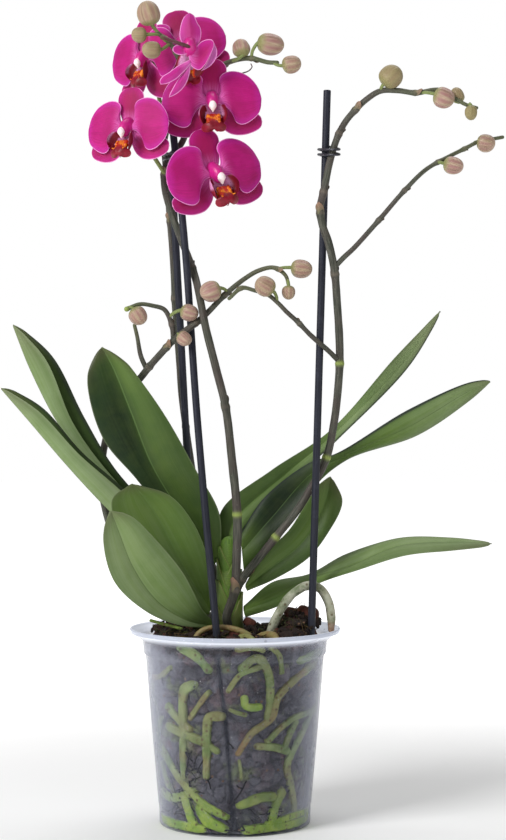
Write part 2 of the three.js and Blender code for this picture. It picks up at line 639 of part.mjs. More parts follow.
// one tepal: u runs from the bloom's middle to its tip and v across it; the broad ones cup forward
function tepal({ turn, length, half, lift, broad }) {
  const angle = (turn * Math.PI) / 180;
  const out = new THREE.Vector3(Math.cos(angle), Math.sin(angle), 0);
  const side = new THREE.Vector3(-out.y, out.x, 0);
  const sheet = (u, v) => {
    const s = (1 - Math.cos(Math.PI * (0.04 + 0.92 * u))) / 2;
    const shape = Math.sin(Math.PI * s ** broad) ** 0.62;
    const w = Math.max(half * shape, 1.5);
    const depth = lift * Math.min(1, 0.25 + 4 * s) + Math.max(0, lift) * 0.9 * v * v * s;
    return out.clone().multiplyScalar(1.5 + (length - 1.5) * s)
      .addScaledVector(side, w * v)
      .add(new THREE.Vector3(0, 0, depth));
  };
  return blade(sheet, () => TEPAL_THICKNESS, 5, half > 12 ? 4 : 2);
}

function bloomTepals(name) {
  const parts = tepalsOf(name).map(tepal);
  parts.push(egg([0, 0, -0.2], [0, 0, 1], 5.6, 7.6, { sides: 5, rings: 3 }));
  parts.push(egg([0, 0.6, 3.6], [0, -0.4, 1], 7.4, 4, { sides: 5, rings: 3 }));
  return joined(parts);
}

// the lip: a claw under the column, two raised side lobes, and an anchor-shaped middle lobe
function bloomLip(name) {
  const close = name === 'bloom_turned' ? 0.8 : 1;
  // a side lobe spreads outward and forward as u goes from its foot to its free edge
  const lobe = (side) => {
    const sheet = (u, v) => {
      const w = 0.8 + 3.4 * Math.sin(Math.PI * (0.12 + 0.76 * u));
      return new THREE.Vector3(
        side * (1.6 + 5.4 * u ** 0.7), -4.4 + 2.2 * u + w * v, 4.2 + 6 * u - 1.6 * u * u);
    };
    return blade(sheet, () => LIP_THICKNESS, 2, 2);
  };
  const middle = (u, v) => {
    const w = close * (1.4 + 5.2 * Math.max(0, Math.sin(Math.PI * Math.min(1, u ** 1.8 + 0.06))));
    return new THREE.Vector3(w * v, -4.6 - 9.4 * u, 4.4 + 4.6 * Math.sin(2.2 * u) - 1.2 * v * v * u);
  };
  return joined([
    lobe(-1), lobe(1),
    blade(middle, (u) => 1.5 - 0.5 * u, 4, 2),
  ]);
}

// turns a solid from a bloom's own axes to its place
function placed(solid, { at, yaw, pitch, roll, size }) {
  const turn = new THREE.Matrix4().makeRotationZ((yaw * Math.PI) / 180)
    .multiply(new THREE.Matrix4().makeRotationX(((90 - pitch) * Math.PI) / 180))
    .multiply(new THREE.Matrix4().makeRotationZ((roll * Math.PI) / 180))
    .multiply(new THREE.Matrix4().makeScale(size, size, size));
  turn.setPosition(...at);
  return solid.transform(turn.elements);
}

// the stalk that carries a bloom, ending just behind its back
function bloomStalk(name, grow = 0) {
  const { at, stalk, via = [] } = BLOOMS[name];
  const back = placed(egg([0, 0, -4.6], [0, 0, 1], 1, 1), BLOOMS[name]).boundingBox();
  const end = [0, 1, 2].map((k) => (back.min[k] + back.max[k]) / 2);
  const away = vec(end).sub(vec(at)).normalize();
  const bend = vec(end).addScaledVector(away, 4).lerp(vec(stalk), 0.35);
  const middle = via.length ? via : [bend.toArray()];
  return tube([stalk, ...middle, end], PEDICEL_RADIUS + 0.2, { sides: 5, step: 8, grow });
}

const CARRIED = {
  spike_front: ['bloom_centre', 'bloom_low', 'bloom_left'],
  spike_back: ['bloom_far_left', 'bloom_top', 'bloom_turned'],
  spike_right: [],
  spike_left: [],
};

// ---------------------------------------------------------------- crown and soil

// the short upright stem, ringed by the sheaths of the leaf bases
const CROWN_LINE = [[-3, 0, 103], [-3.4, 0, 118], [-3.6, 1, 138], [-3.4, 3, 158]];
function crown(grow = 0) {
  const bulge = (t) => 8.6 - 2.6 * t * t + 0.7 * Math.sin(22 * t);
  return tube(CROWN_LINE, bulge, { sides: 8, step: 9, grow });
}

// the height of the bark at a place: a mound on the right, dips and seeded lumps
function soilHeight(x, y) {
  const mound = 13 * Math.exp(-(((x - 36) / 13) ** 2 + ((y - 4) / 22) ** 2));
  const chunk = 3.5 * Math.exp(-(((x - 4) / 9) ** 2 + ((y + 12) / 10) ** 2));
  const lumps = 1.2 * Math.sin(0.31 * x + 1.3) * Math.cos(0.27 * y - 0.6);
  return SOIL_LEVEL + mound + chunk + lumps;
}

function soil(cutters) {
  const sides = 22;
  const bands = [0, 0.34, 0.62, 0.86, 1];
  const levels = [SOIL_BOTTOM, 12, 40, 68, 95.5];
  const positions = [0, 0, SOIL_BOTTOM];
  const rings = levels.map((z) => ({ radius: potInside(z) - SOIL_INSET, height: () => z }));
  bands.slice(1).reverse().forEach((share) => rings.push({
    radius: share * (potInside(95.5) - SOIL_INSET), height: soilHeight,
  }));
  for (const { radius, height } of rings) {
    for (let k = 0; k < sides; k += 1) {
      const angle = (2 * Math.PI * k) / sides;
      const x = radius * Math.cos(angle);
      const y = radius * Math.sin(angle);
      positions.push(x, y, height(x, y));
    }
  }
  positions.push(0, 0, soilHeight(0, 0));
  const top = 1 + rings.length * sides;
  const index = [];
  for (let k = 0; k < sides; k += 1) {
    const next = (k + 1) % sides;
    index.push(0, 1 + next, 1 + k);
    for (let i = 0; i < rings.length - 1; i += 1) {
      const a = 1 + i * sides + k;
      const b = 1 + i * sides + next;
      index.push(a, b, b + sides, a, b + sides, a + sides);
    }
    index.push(1 + (rings.length - 1) * sides + k, 1 + (rings.length - 1) * sides + next, top);
  }
  const random = seeded(11);
  const parts = [solidOf(geometryOf(positions, index))];
  for (let k = 0; k < CHIP_COUNT; k += 1) {
    const angle = 2 * Math.PI * random();
    const radius = 43 * Math.sqrt(0.1 + 0.9 * random());
    const x = radius * Math.cos(angle);
    const y = radius * Math.sin(angle);
    const chip = new THREE.BoxGeometry(6 + 8 * random(), 5 + 5 * random(), 4 + 3 * random());
    chip.rotateX(0.7 * (random() - 0.5));
    chip.rotateY(0.7 * (random() - 0.5));
    chip.rotateZ(Math.PI * random());
    chip.translate(x, y, soilHeight(x, y) - 0.4);
    parts.push(solidOf(chip));
  }
  return mainPiece(without(joined(parts), cutters));
}

// ---------------------------------------------------------------- the whole

const orchid = new THREE.Group();
const leafNames = Object.keys(LEAVES);
const spikeNames = Object.keys(SPIKES);
const stakeNames = Object.keys(STAKES);

const spikeSolids = Object.fromEntries(spikeNames.map((name) => [
  name, joined([...spike(name), ...CARRIED[name].map((bloom) => bloomStalk(bloom))])]));
const spikeRoom = spikeNames.map((name) => joined(spike(name, GAP).slice(0, 1)));
const leafSolids = Object.fromEntries(leafNames.map((name) => [name, leaf(name)]));
const stemCore = crown(GAP);
const clearRoots = roots(ROOT_GAP);

orchid.add(meshOf(pot(), 'pot', COLOURS.pot, { transparent: true, opacity: 0.4 }));
orchid.add(meshOf(
  soil([
    clearRoots, aerialRoot(GAP), stemCore, ...spikeRoom,
    ...stakeNames.map((name) => stake(name, GAP)), ...leafNames.map((name) => leaf(name, GAP)),
  ]),
  'bark_and_peat', COLOURS.soil, { tolerance: 0.1 }));
for (const name of stakeNames) orchid.add(meshOf(stake(name), name, COLOURS.stake));

const clips = {
  clip_left: clipLine([-33.8, -1.2, 379], [-37.8, 6.6, 379], 0.8),
  clip_right: clipLine([50.8, -15.7, 380], [55, -22.2, 380], -1.6),
};
for (const [name, line] of Object.entries(clips)) {
  orchid.add(meshOf(tube(line, CLIP_WIRE_RADIUS, { sides: 4, step: 4 }), name, COLOURS.clip));
}

orchid.add(meshOf(
  mainPiece(without(crown(), [...leafNames.map((name) => leaf(name, GAP)), ...spikeRoom, clearRoots])),
  'stem_base', COLOURS.crown));
orchid.add(meshOf(roots(), 'roots', COLOURS.root));
orchid.add(meshOf(aerialRoot(), 'aerial_root', COLOURS.aerial));
for (const name of spikeNames) orchid.add(meshOf(spikeSolids[name], name, COLOURS.stem));
for (const name of leafNames) {
  const colour = PALE_LEAVES.includes(name) ? COLOURS.paleLeaf : COLOURS.leaf;
  orchid.add(meshOf(leafSolids[name], name, colour));
}
for (const [name, place] of Object.entries(BLOOMS)) {
  orchid.add(meshOf(placed(bloomTepals(name), place), `${name}_tepals`, COLOURS.tepal));
  orchid.add(meshOf(placed(bloomLip(name), place), `${name}_lip`, COLOURS.lip));
}

export default orchid;
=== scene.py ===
"""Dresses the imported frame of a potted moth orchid: a clear pot of bark and roots, three stakes, four
flower spikes, nine leaves and six blooms. Every shape is worked out as whole arrays of points.

Named sizes and points are millimetres in the frame's own axes: +X to the viewer's right, +Y away from
the viewer and +Z up. They are turned into metres when a mesh is made."""

import bpy
from mathutils import Matrix
import numpy as np


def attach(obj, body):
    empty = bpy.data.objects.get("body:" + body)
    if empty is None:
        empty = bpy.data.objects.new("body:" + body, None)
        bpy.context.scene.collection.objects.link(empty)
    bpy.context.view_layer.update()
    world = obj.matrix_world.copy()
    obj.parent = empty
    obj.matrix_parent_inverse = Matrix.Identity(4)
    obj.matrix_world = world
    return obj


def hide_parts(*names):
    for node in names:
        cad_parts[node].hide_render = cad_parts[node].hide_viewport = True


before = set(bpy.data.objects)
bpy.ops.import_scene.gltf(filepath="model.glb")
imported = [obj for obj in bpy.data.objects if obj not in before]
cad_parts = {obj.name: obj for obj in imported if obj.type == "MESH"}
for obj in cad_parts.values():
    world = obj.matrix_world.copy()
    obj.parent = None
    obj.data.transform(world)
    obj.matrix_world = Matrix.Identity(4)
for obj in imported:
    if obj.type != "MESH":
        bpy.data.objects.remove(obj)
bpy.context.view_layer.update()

MM = 0.001
TURN = 2 * np.pi


# ------------------------------------------------------------------ lines and fields

def smooth(x, low=0.0, high=1.0):
    """0 below low and 1 above high, with t * t * (3 - 2 t) in between."""
    t = np.clip((np.asarray(x, float) - low) / (high - low), 0, 1)
    return t * t * (3 - 2 * t)


def bell(x, centre, width):
    """A bump of height 1 at the centre: exp(-((x - centre) / width) ** 2)."""
    return np.exp(-((np.asarray(x, float) - centre) / width) ** 2)


def unit(a):
    """Each vector divided by its own length."""
    return a / np.maximum(np.linalg.norm(a, axis=-1, keepdims=True), 1e-9)


def curve(points, t):
    """The smooth line through the points at each t from 0 to 1, every span taking an equal share of t.
    In a span it is the cubic whose end slopes are the centripetal ones, with each gap between points
    counted as the square root of its length."""
    p = np.asarray(points, float)
    p = np.vstack([2 * p[0] - p[1], p, 2 * p[-1] - p[-2]])
    place = np.clip(t, 0, 1) * (len(p) - 3)
    i = np.minimum(place.astype(int), len(p) - 4)
    w = (place - i)[:, None]
    a, b, c, d = p[i], p[i + 1], p[i + 2], p[i + 3]
    g0, g1, g2 = (np.maximum(np.linalg.norm(y - x, axis=1, keepdims=True) ** 0.5, 1e-4)
                  for x, y in ((a, b), (b, c), (c, d)))
    start = ((b - a) / g0 - (c - a) / (g0 + g1) + (c - b) / g1) * g1
    end = ((c - b) / g1 - (d - b) / (g1 + g2) + (d - c) / g2) * g1
    return b + start * w + (3 * (c - b) - 2 * start - end) * w ** 2 + (2 * (b - c) + start + end) * w ** 3


def evenly(points, step=None, count=None):
    """The smooth line through the points, as spots a constant distance apart along it."""
    dense = curve(points, np.linspace(0, 1, 30 * len(points)))
    reach = np.r_[0, np.cumsum(np.linalg.norm(np.diff(dense, axis=0), axis=1))]
    count = count or max(3, int(round(reach[-1] / step)) + 1)
    at = np.linspace(0, reach[-1], count)
    return np.stack([np.interp(at, reach, dense[:, k]) for k in range(dense.shape[1])], 1)


def lengths(line):
    """The distance along a line at each of its points."""
    return np.r_[0, np.cumsum(np.linalg.norm(np.diff(line, axis=0), axis=1))]


def ripple(points, size, seed):
    """A smooth random field from about -1 to 1: the mean of nine sine waves in random directions, each
    about size millimetres long."""
    draw = np.random.default_rng(seed)
    direction = unit(draw.normal(size=(9, 3))) * (TURN / size) * draw.uniform(0.6, 1.6, (9, 1))
    phase = draw.uniform(0, TURN, 9)
    return np.sin(np.asarray(points) @ direction.T + phase).sum(-1) / 4.5


def around(count):
    """So many angles once round, as a row."""
    return np.linspace(0, TURN, count, endpoint=False)[None, :]


def basis(line):
    """The unit slope of a line at each point and two directions square to it. The first is the slope
    crossed with the world axis that the line follows least, so it never turns suddenly."""
    slope = unit(np.gradient(line, axis=0))
    axis = np.eye(3)[np.abs(slope).max(axis=0).argmin()]
    side = unit(np.cross(slope, axis))
    return slope, side, np.cross(slope, side)


def turned(points, centre, yaw=0.0, pitch=0.0, roll=0.0, scale=1.0):
    """Points turned from a bloom's own axes (x right, y up, z to the viewer) to the frame's: rolled
    about z, tipped up by pitch, swung by yaw about the vertical, scaled, and moved to the centre."""
    a, b, c = (np.radians(v) for v in (yaw, 90 - pitch, roll))
    rz = np.array([[np.cos(a), -np.sin(a), 0], [np.sin(a), np.cos(a), 0], [0, 0, 1]])
    rx = np.array([[1, 0, 0], [0, np.cos(b), -np.sin(b)], [0, np.sin(b), np.cos(b)]])
    ro = np.array([[np.cos(c), -np.sin(c), 0], [np.sin(c), np.cos(c), 0], [0, 0, 1]])
    return scale * np.asarray(points, float) @ (rz @ rx @ ro).T + np.asarray(centre, float)


# ------------------------------------------------------------------ surfaces and meshes

def surface(grid, paint=0, open_sheet=False, **fields):
    """A closed surface: a grid of points whose columns join round and whose first and last rows are
    each closed by a pole, or a plain open sheet. Fields are values carried by its points."""
    shape = grid.shape[:2]
    return {"grid": grid, "paint": paint, "open": open_sheet,
            "fields": {k: np.broadcast_to(v, shape).ravel() for k, v in fields.items()}}


def faces_of(part):
    """The quads and pole triangles of a surface, its points with any poles added, and its fields."""
    grid, flat = part["grid"], part["open"]
    rows, columns = grid.shape[:2]
    spots = grid.reshape(-1, 3)
    i = np.arange(rows - 1)[:, None]
    j = np.arange(columns - 1 if flat else columns)[None, :]
    below, above, next_j = i * columns, (i + 1) * columns, (j + 1) % columns
    quads = np.stack([below + j, below + next_j, above + next_j, above + j], -1).reshape(-1, 4)
    triangles = np.zeros((0, 3), int)
    fields = dict(part["fields"])
    if not flat:
        top = (rows - 1) * columns
        pole = len(spots)
        spots = np.vstack([spots, grid[0].mean(0), grid[-1].mean(0)])
        k = np.arange(columns)
        after = (k + 1) % columns
        triangles = np.vstack([
            np.stack([after, k, np.full(columns, pole)], 1),
            np.stack([top + k, top + after, np.full(columns, pole + 1)], 1)])
        fields = {name: np.r_[value, value[:columns].mean(), value[-columns:].mean()]
                  for name, value in fields.items()}
        corners = np.vstack([quads[:, [0, 1, 2]], quads[:, [0, 2, 3]], triangles])
        a, b, c = (spots[corners[:, n]] for n in range(3))
        if np.einsum("ij,ij->i", a, np.cross(b, c)).sum() < 0:
            quads, triangles = quads[:, ::-1], triangles[:, ::-1]
    return spots, quads, triangles, fields


def build(name, parts, materials, body="root"):
    """Joins surfaces into one mesh object, in metres, with the fields as point attributes."""
    spots, quads, triangles, paints, count = [], [], [], [], 0
    names = sorted({key for part in parts for key in part["fields"]})
    fields = {key: [] for key in names}
    for part in parts:
        points, four, three, values = faces_of(part)
        spots.append(points)
        quads.append(four + count)
        triangles.append(three + count)
        paints.append((part["paint"], len(four), len(three)))
        for key in names:
            fields[key].append(values.get(key, np.zeros(len(points))))
        count += len(points)
    spots = np.vstack(spots) * MM
    quads, triangles = np.vstack(quads), np.vstack(triangles)
    corners = np.r_[quads.ravel(), triangles.ravel()]
    starts = np.r_[np.arange(len(quads)) * 4, quads.size + np.arange(len(triangles)) * 3]
    paint, fours, threes = np.transpose(paints)
    slots = np.r_[np.repeat(paint, fours), np.repeat(paint, threes)]
    mesh = bpy.data.meshes.new(name)
    mesh.vertices.add(len(spots))
    mesh.vertices.foreach_set("co", spots.astype(np.float32).ravel())
    mesh.loops.add(len(corners))
    mesh.loops.foreach_set("vertex_index", corners.astype(np.int32))
    mesh.polygons.add(len(starts))
    mesh.polygons.foreach_set("loop_start", starts.astype(np.int32))
    mesh.polygons.foreach_set("material_index", slots.astype(np.int32))
    mesh.update(calc_edges=True)
    mesh.polygons.foreach_set("use_smooth", np.ones(len(starts), bool))
    for key in names:
        attribute = mesh.attributes.new(key, "FLOAT", "POINT")
        attribute.data.foreach_set("value", np.concatenate(fields[key]).astype(np.float32))
    for material in materials:
        mesh.materials.append(material)
    thing = bpy.data.objects.new(name, mesh)
    bpy.context.scene.collection.objects.link(thing)
    if body:
        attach(thing, body)
    return thing


def dress(node, parts, materials):
    """A finished piece that stands for the frame's node of the same name."""
    thing = build("fine_" + node, parts, materials)
    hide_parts(node)
    return thing


def tube(line, radius, sides=14, rounded=True, paint=0, **fields):
    """A tube: line + r (cos a * side + sin a * up) for a once round, with r given for each step or for
    each step and angle. A rounded end adds three rings at r cos b, pushed out by r sin b."""
    slope, side, up = basis(line)
    a = around(sides)
    r = np.broadcast_to(np.asarray(radius, float).reshape(len(line), -1), (len(line), sides))
    s = lengths(line)
    fields = {"along": s[:, None], "round": a / TURN, **fields}
    fields = {k: np.broadcast_to(v, r.shape) for k, v in fields.items()}
    if rounded:
        b = np.radians([80.0, 55.0, 28.0])
        rows = np.r_[np.zeros(3, int), np.arange(len(line)), np.full(3, len(line) - 1)]
        mean = r.mean(1)
        push = np.r_[-np.sin(b) * mean[0], np.zeros(len(line)), np.sin(b[::-1]) * mean[-1]]
        shrink = np.r_[np.cos(b), np.ones(len(line)), np.cos(b[::-1])]
        line = line[rows] + slope[rows] * push[:, None]
        side, up, r = side[rows], up[rows], r[rows] * shrink[:, None]
        fields = {k: v[rows] for k, v in fields.items()}
    out = np.cos(a)[..., None] * side[:, None] + np.sin(a)[..., None] * up[:, None]
    return surface(line[:, None] + r[..., None] * out, paint, **fields)


def blade(left, middle, right, thickness, columns=44, crease=0.0, arch=0.0, flutter=0.0, close=0.06,
          front=(0, -1, 0), paint=0, **fields):
    """A thin closed blade between two edges and a midrib, each a line of rows points. At v from -1 to 1
    across, a point is the parabola through edge, midrib and edge, blended by crease with the two
    straight halves. It is raised along the sheet's normal by arch * half width * 4 |v| (1 - |v|), and by
    flutter * v^4 * sin(14 u + 3 v) toward the edges. Each face lies half the thickness away, which
    closes to nothing at the edges. The outline draws together in a half ellipse over the last share,
    close, of its length."""
    rows = len(middle)
    u = np.linspace(0, 1, rows)[:, None]
    t = around(columns)
    v = -np.cos(t)
    v = np.sign(v) * np.abs(v) ** 1.25
    drawn = np.sqrt(1 - np.clip((u - 1 + close) / max(close, 0.001), 0, 1) ** 2)
    a, m, b = (p[:, None, :] for p in (left, middle, right))
    a, b = m + (a - m) * drawn[..., None], m + (b - m) * drawn[..., None]
    w = v[..., None]
    parabola = m * (1 - w ** 2) + a * w * (w - 1) / 2 + b * w * (w + 1) / 2
    halves = m + np.abs(w) * (np.where(w < 0, a, b) - m)
    sheet = parabola * (1 - crease) + halves * crease
    span = b - a
    normal = unit(np.cross(np.gradient(m, axis=0), span + 1e-9))
    facing = np.sign((normal * np.asarray(front, float)).sum(-1).mean() or 1)
    normal = normal * facing
    half = np.linalg.norm(span, axis=-1) / 2
    raised = arch * half * 4 * np.abs(v) * (1 - np.abs(v)) + flutter * v ** 4 * np.sin(14 * u + 3 * v)
    face = np.sign(np.sin(t))
    thick = np.broadcast_to(np.asarray(thickness, float).reshape(-1, 1), (rows, 1))
    part = thick / 2 * (0.45 + 0.55 * (1 - v ** 2)) * np.abs(np.sin(t)) ** 0.7 * face * facing
    sheet = sheet + normal * (raised + part * facing)[..., None]
    end = lengths(middle)[:, None]
    edge = np.minimum((1 - np.abs(v)) * half, (end[-1] - end) * 0.8)
    front_side = np.where(part * facing >= 0, 1.0, 0.0)
    return surface(sheet, paint, along=u, across=v, edge=edge, front=front_side, **fields)


def blob(centre, size, rows, columns, axis=(0, 0, 1), power=1.0, rough=0.0, seed=0, paint=0, **fields):
    """A rounded lump: a ball of the three sizes, its long way along the axis, squared off when the power
    on its sines and cosines is under 1, and roughened by a ripple."""
    b, a = np.linspace(0.12, np.pi - 0.12, rows)[:, None], around(columns)
    sin_b, cos_b, sin_a, cos_a = (np.sign(x) * np.abs(x) ** power
                                  for x in (np.sin(b), np.cos(b), np.sin(a), np.cos(a)))
    ball = np.stack([sin_b * cos_a, sin_b * sin_a, cos_b + 0 * a], -1)
    ball = ball * np.asarray(size, float) / 2
    if rough:
        ball = ball * (1 + rough * ripple(ball, max(size) * 0.55, seed))[..., None]
    z = unit(np.asarray(axis, float))
    x = unit(np.cross(z, [0.31, 0.85, 0.41]))
    ball = ball @ np.stack([x, np.cross(z, x), z])
    return surface(ball + np.asarray(centre, float), paint, along=b / np.pi, round=a / TURN, **fields)


# ------------------------------------------------------------------ node trees

def rgb(r, g, b):
    """A screen colour from 0 to 255 as the linear colour that a shader takes."""
    c = np.array([r, g, b]) / 255.0
    linear = np.where(c <= 0.04045, c / 12.92, ((c + 0.055) / 1.055) ** 2.4)
    return (*(float(x) for x in linear), 1.0)


class Nodes:
    """A node tree, with the steps that effects and materials are made of."""

    def __init__(self, tree):
        self.tree = tree

    def wire(self, socket, value):
        """Links a socket to an output, or sets its own value."""
        if isinstance(value, bpy.types.NodeSocket):
            self.tree.links.new(value, socket)
        else:
            socket.default_value = value

    def add(self, kind, inputs, output=0, **settings):
        """A shader node with its settings and inputs. Returns one of its outputs."""
        node = self.tree.nodes.new("ShaderNode" + kind)
        for key, value in settings.items():
            setattr(node, key, value)
        for key, value in inputs.items():
            self.wire(node.inputs[key], value)
        return node.outputs[output]

    def calc(self, operation, a, b=0.5):
        """One step of arithmetic on values."""
        return self.add("Math", {0: a, 1: b}, operation=operation)

    def times(self, a, b):
        """The product of two values."""
        return self.calc("MULTIPLY", a, b)

    def spread(self, value, low, high, to_low=0.0, to_high=1.0, soft=True):
        """A value mapped from one range to another, held at the ends."""
        return self.add("MapRange", {0: value, 1: low, 2: high, 3: to_low, 4: to_high},
                        interpolation_type="SMOOTHSTEP" if soft else "LINEAR")

    def blend(self, factor, a, b):
        """Colour a turning into colour b by the factor. Three numbers are a screen colour."""
        a, b = (rgb(*c) if isinstance(c, tuple) and len(c) == 3 else c for c in (a, b))
        return self.add("Mix", {0: factor, 6: a, 7: b}, output=2, data_type="RGBA")

    def noise(self, vector, scale, detail, roughness=0.5):
        """A smooth random field."""
        return self.add("TexNoise", {"Vector": vector, "Scale": scale, "Detail": detail,
                                     "Roughness": roughness})


def group(name, inputs, make):
    """A shared effect: a node group with named inputs, {name: default}, where None is a place, and one
    output, the mask that make returns."""
    tree = bpy.data.node_groups.new(name, "ShaderNodeTree")
    for label, default in inputs.items():
        kind = "NodeSocketVector" if default is None else "NodeSocketFloat"
        socket = tree.interface.new_socket(name=label, in_out="INPUT", socket_type=kind)
        if default is not None:
            socket.default_value = default
    tree.interface.new_socket(name="Mask", in_out="OUTPUT", socket_type="NodeSocketFloat")
    source, sink = tree.nodes.new("NodeGroupInput"), tree.nodes.new("NodeGroupOutput")
    tree.links.new(make(Nodes(tree), source.outputs), sink.inputs["Mask"])
    return tree


def make_cloud(nodes, given):
    """Smooth noise, brought to 0 at low and to 1 at high."""
    noise = nodes.noise(given["Place"], given["Scale"], 5.0, 0.6)
    return nodes.spread(noise, given["Low"], given["High"])


def make_flecks(nodes, given):
    """Soft round dots in a random share of the cells."""
    colour = nodes.add("TexVoronoi", {"Vector": given["Place"], "Scale": given["Scale"],
                                      "Randomness": 1.0}, "Color")
    chance, distance = nodes.add("SeparateColor", {0: colour}), colour.node.outputs["Distance"]
    pick = nodes.calc("GREATER_THAN", chance, nodes.calc("SUBTRACT", 1.0, given["Share"]))
    return nodes.times(nodes.spread(distance, given["Size"], nodes.times(given["Size"], 0.4)), pick)


def make_strands(nodes, given):
    """Noise drawn out along the piece: across times count by along times stretch."""
    spot = nodes.add("CombineXYZ", {0: nodes.times(given["Across"], given["Count"]),
                                    1: nodes.times(given["Along"], given["Stretch"])})
    return nodes.spread(nodes.noise(spot, 1.0, 3.0, 0.55), given["Low"], given["High"])


def make_veins(nodes, given):
    """Thin lines where |sin(pi (across * count + a little noise))| is near nought."""
    wander = nodes.times(nodes.noise(given["Place"], 130.0, 2.0), 1.6)
    phase = nodes.calc("ADD", nodes.times(given["Across"], given["Count"]), wander)
    wave = nodes.calc("ABSOLUTE", nodes.calc("SINE", nodes.times(phase, np.pi)))
    return nodes.spread(wave, given["Width"], 0.0)


CLOUD = group("cloudy patches", {"Place": None, "Scale": 60.0, "Low": 0.35, "High": 0.65}, make_cloud)
FLECKS = group("scattered flecks", {"Place": None, "Scale": 400.0, "Share": 0.3, "Size": 0.3}, make_flecks)
STRANDS = group("lengthwise strands",
                {"Across": 0.0, "Along": 0.0, "Count": 20.0, "Stretch": 2.0, "Low": 0.35, "High": 0.65},
                make_strands)
VEINS = group("parallel veins", {"Place": None, "Across": 0.0, "Count": 12.0, "Width": 0.35}, make_veins)


class Coat(Nodes):
    """A material in the making: its node tree, its Principled shader with the values that are the same
    all over, the point on the object in metres, and the colour laid down so far."""

    def __init__(self, name, **shader_values):
        self.material = bpy.data.materials.new(name)
        self.material.use_nodes = True
        super().__init__(self.material.node_tree)
        self.shader = self.tree.nodes["Principled BSDF"]
        self.spot = self.add("TexCoord", {}, "Object")
        self.colour = None
        for key, value in shader_values.items():
            self.feed(key.replace("_", " ").title().replace("Ior", "IOR"), value)

    def feed(self, label, value):
        """Links one of the shader's inputs, or sets its value."""
        self.wire(self.shader.inputs[label], value)

    def field(self, name):
        """A value carried by the mesh's points."""
        return self.add("Attribute", {}, "Fac", attribute_name=name)

    def effect(self, shared, **inputs):
        """The mask of a shared effect."""
        return self.add("Group", {key.capitalize(): value for key, value in inputs.items()},
                        node_tree=shared)

    def cloud(self, scale, low, high):
        """Cloudy patches, so many to the metre."""
        return self.effect(CLOUD, place=self.spot, scale=scale, low=low, high=high)

    def flecks(self, scale, share, size):
        """Flecks in a share of the cells, which are so many to the metre."""
        return self.effect(FLECKS, place=self.spot, scale=scale, share=share, size=size)

    def strands(self, count, stretch, low, high, across="across"):
        """Strands that run along the piece, counted over the field that crosses it."""
        return self.effect(STRANDS, across=self.field(across), along=self.field("along"), count=count,
                           stretch=stretch, low=low, high=high)

    def over(self, mask, colour, share=None):
        """Lays a colour over the one so far by a mask, or by a share of it. A name is a field's."""
        mask = self.field(mask) if isinstance(mask, str) else mask
        factor = mask if share is None else self.times(mask, share)
        self.colour = self.blend(factor, self.colour, colour)

    def finish(self, roughness=None, relief=None):
        """Feeds the colour, a roughness and a relief, which is a height, its strength and its depth in
        millimetres. Returns the material."""
        self.feed("Base Color", self.colour)
        if roughness is not None:
            self.feed("Roughness", roughness)
        if relief:
            height, strength, depth = relief
            self.feed("Normal", self.add("Bump", {"Height": height, "Strength": strength,
                                                  "Distance": depth * MM}))
        return self.material


def paint_pot():
    """Clear plastic: a thin grey veil that thickens where the wall is seen edge-on, milky on the rim, with a
    painted glow there that stands in for the light it lets through, darker lines where the wall bends, and
    specks of peat and pale droplets stuck to it."""
    # the emission strength is for the painted glow on the rim
    coat = Coat("clear_pot_plastic", ior=1.45, emission_strength=0.3)
    facing = coat.add("LayerWeight", {0: 0.35}, "Facing")
    haze, smear = coat.cloud(22, 0.3, 0.75), coat.cloud(85, 0.5, 0.85)
    rim, line = coat.field("rim"), coat.field("line")
    veil = coat.spread(facing, 0.1, 0.95, 0.02, 0.85)
    for mask, share in ((haze, 0.03), (smear, 0.06), (rim, 0.55), (line, 0.2)):
        veil = coat.calc("ADD", veil, coat.times(mask, share))
    grit = coat.times(coat.flecks(420, 0.2, 0.3), coat.field("foot"))
    specks = coat.calc("MAXIMUM", coat.flecks(230, 0.05, 0.26), grit)
    drops = coat.flecks(700, 0.02, 0.3)
    coat.colour = coat.blend(coat.spread(facing, 0.2, 0.9), (176, 180, 196), (150, 154, 168))
    for mask, colour in ((rim, (248, 250, 255)), (line, (150, 154, 164)), (specks, (34, 28, 26)),
                         (drops, (240, 242, 246))):
        coat.over(mask, colour)
    alpha = coat.calc("MAXIMUM", veil, coat.times(specks, 0.8))
    alpha = coat.calc("MAXIMUM", alpha, coat.times(drops, 0.5))
    coat.feed("Alpha", coat.calc("MINIMUM", alpha, 0.97))
    # painted glow: the rim's emission stands in for the light that the milky rim lets through
    coat.feed("Emission Color", coat.blend(rim, (0, 0, 0), (206, 214, 236)))
    return coat.finish(coat.spread(haze, 0, 1, 0.16, 0.32))


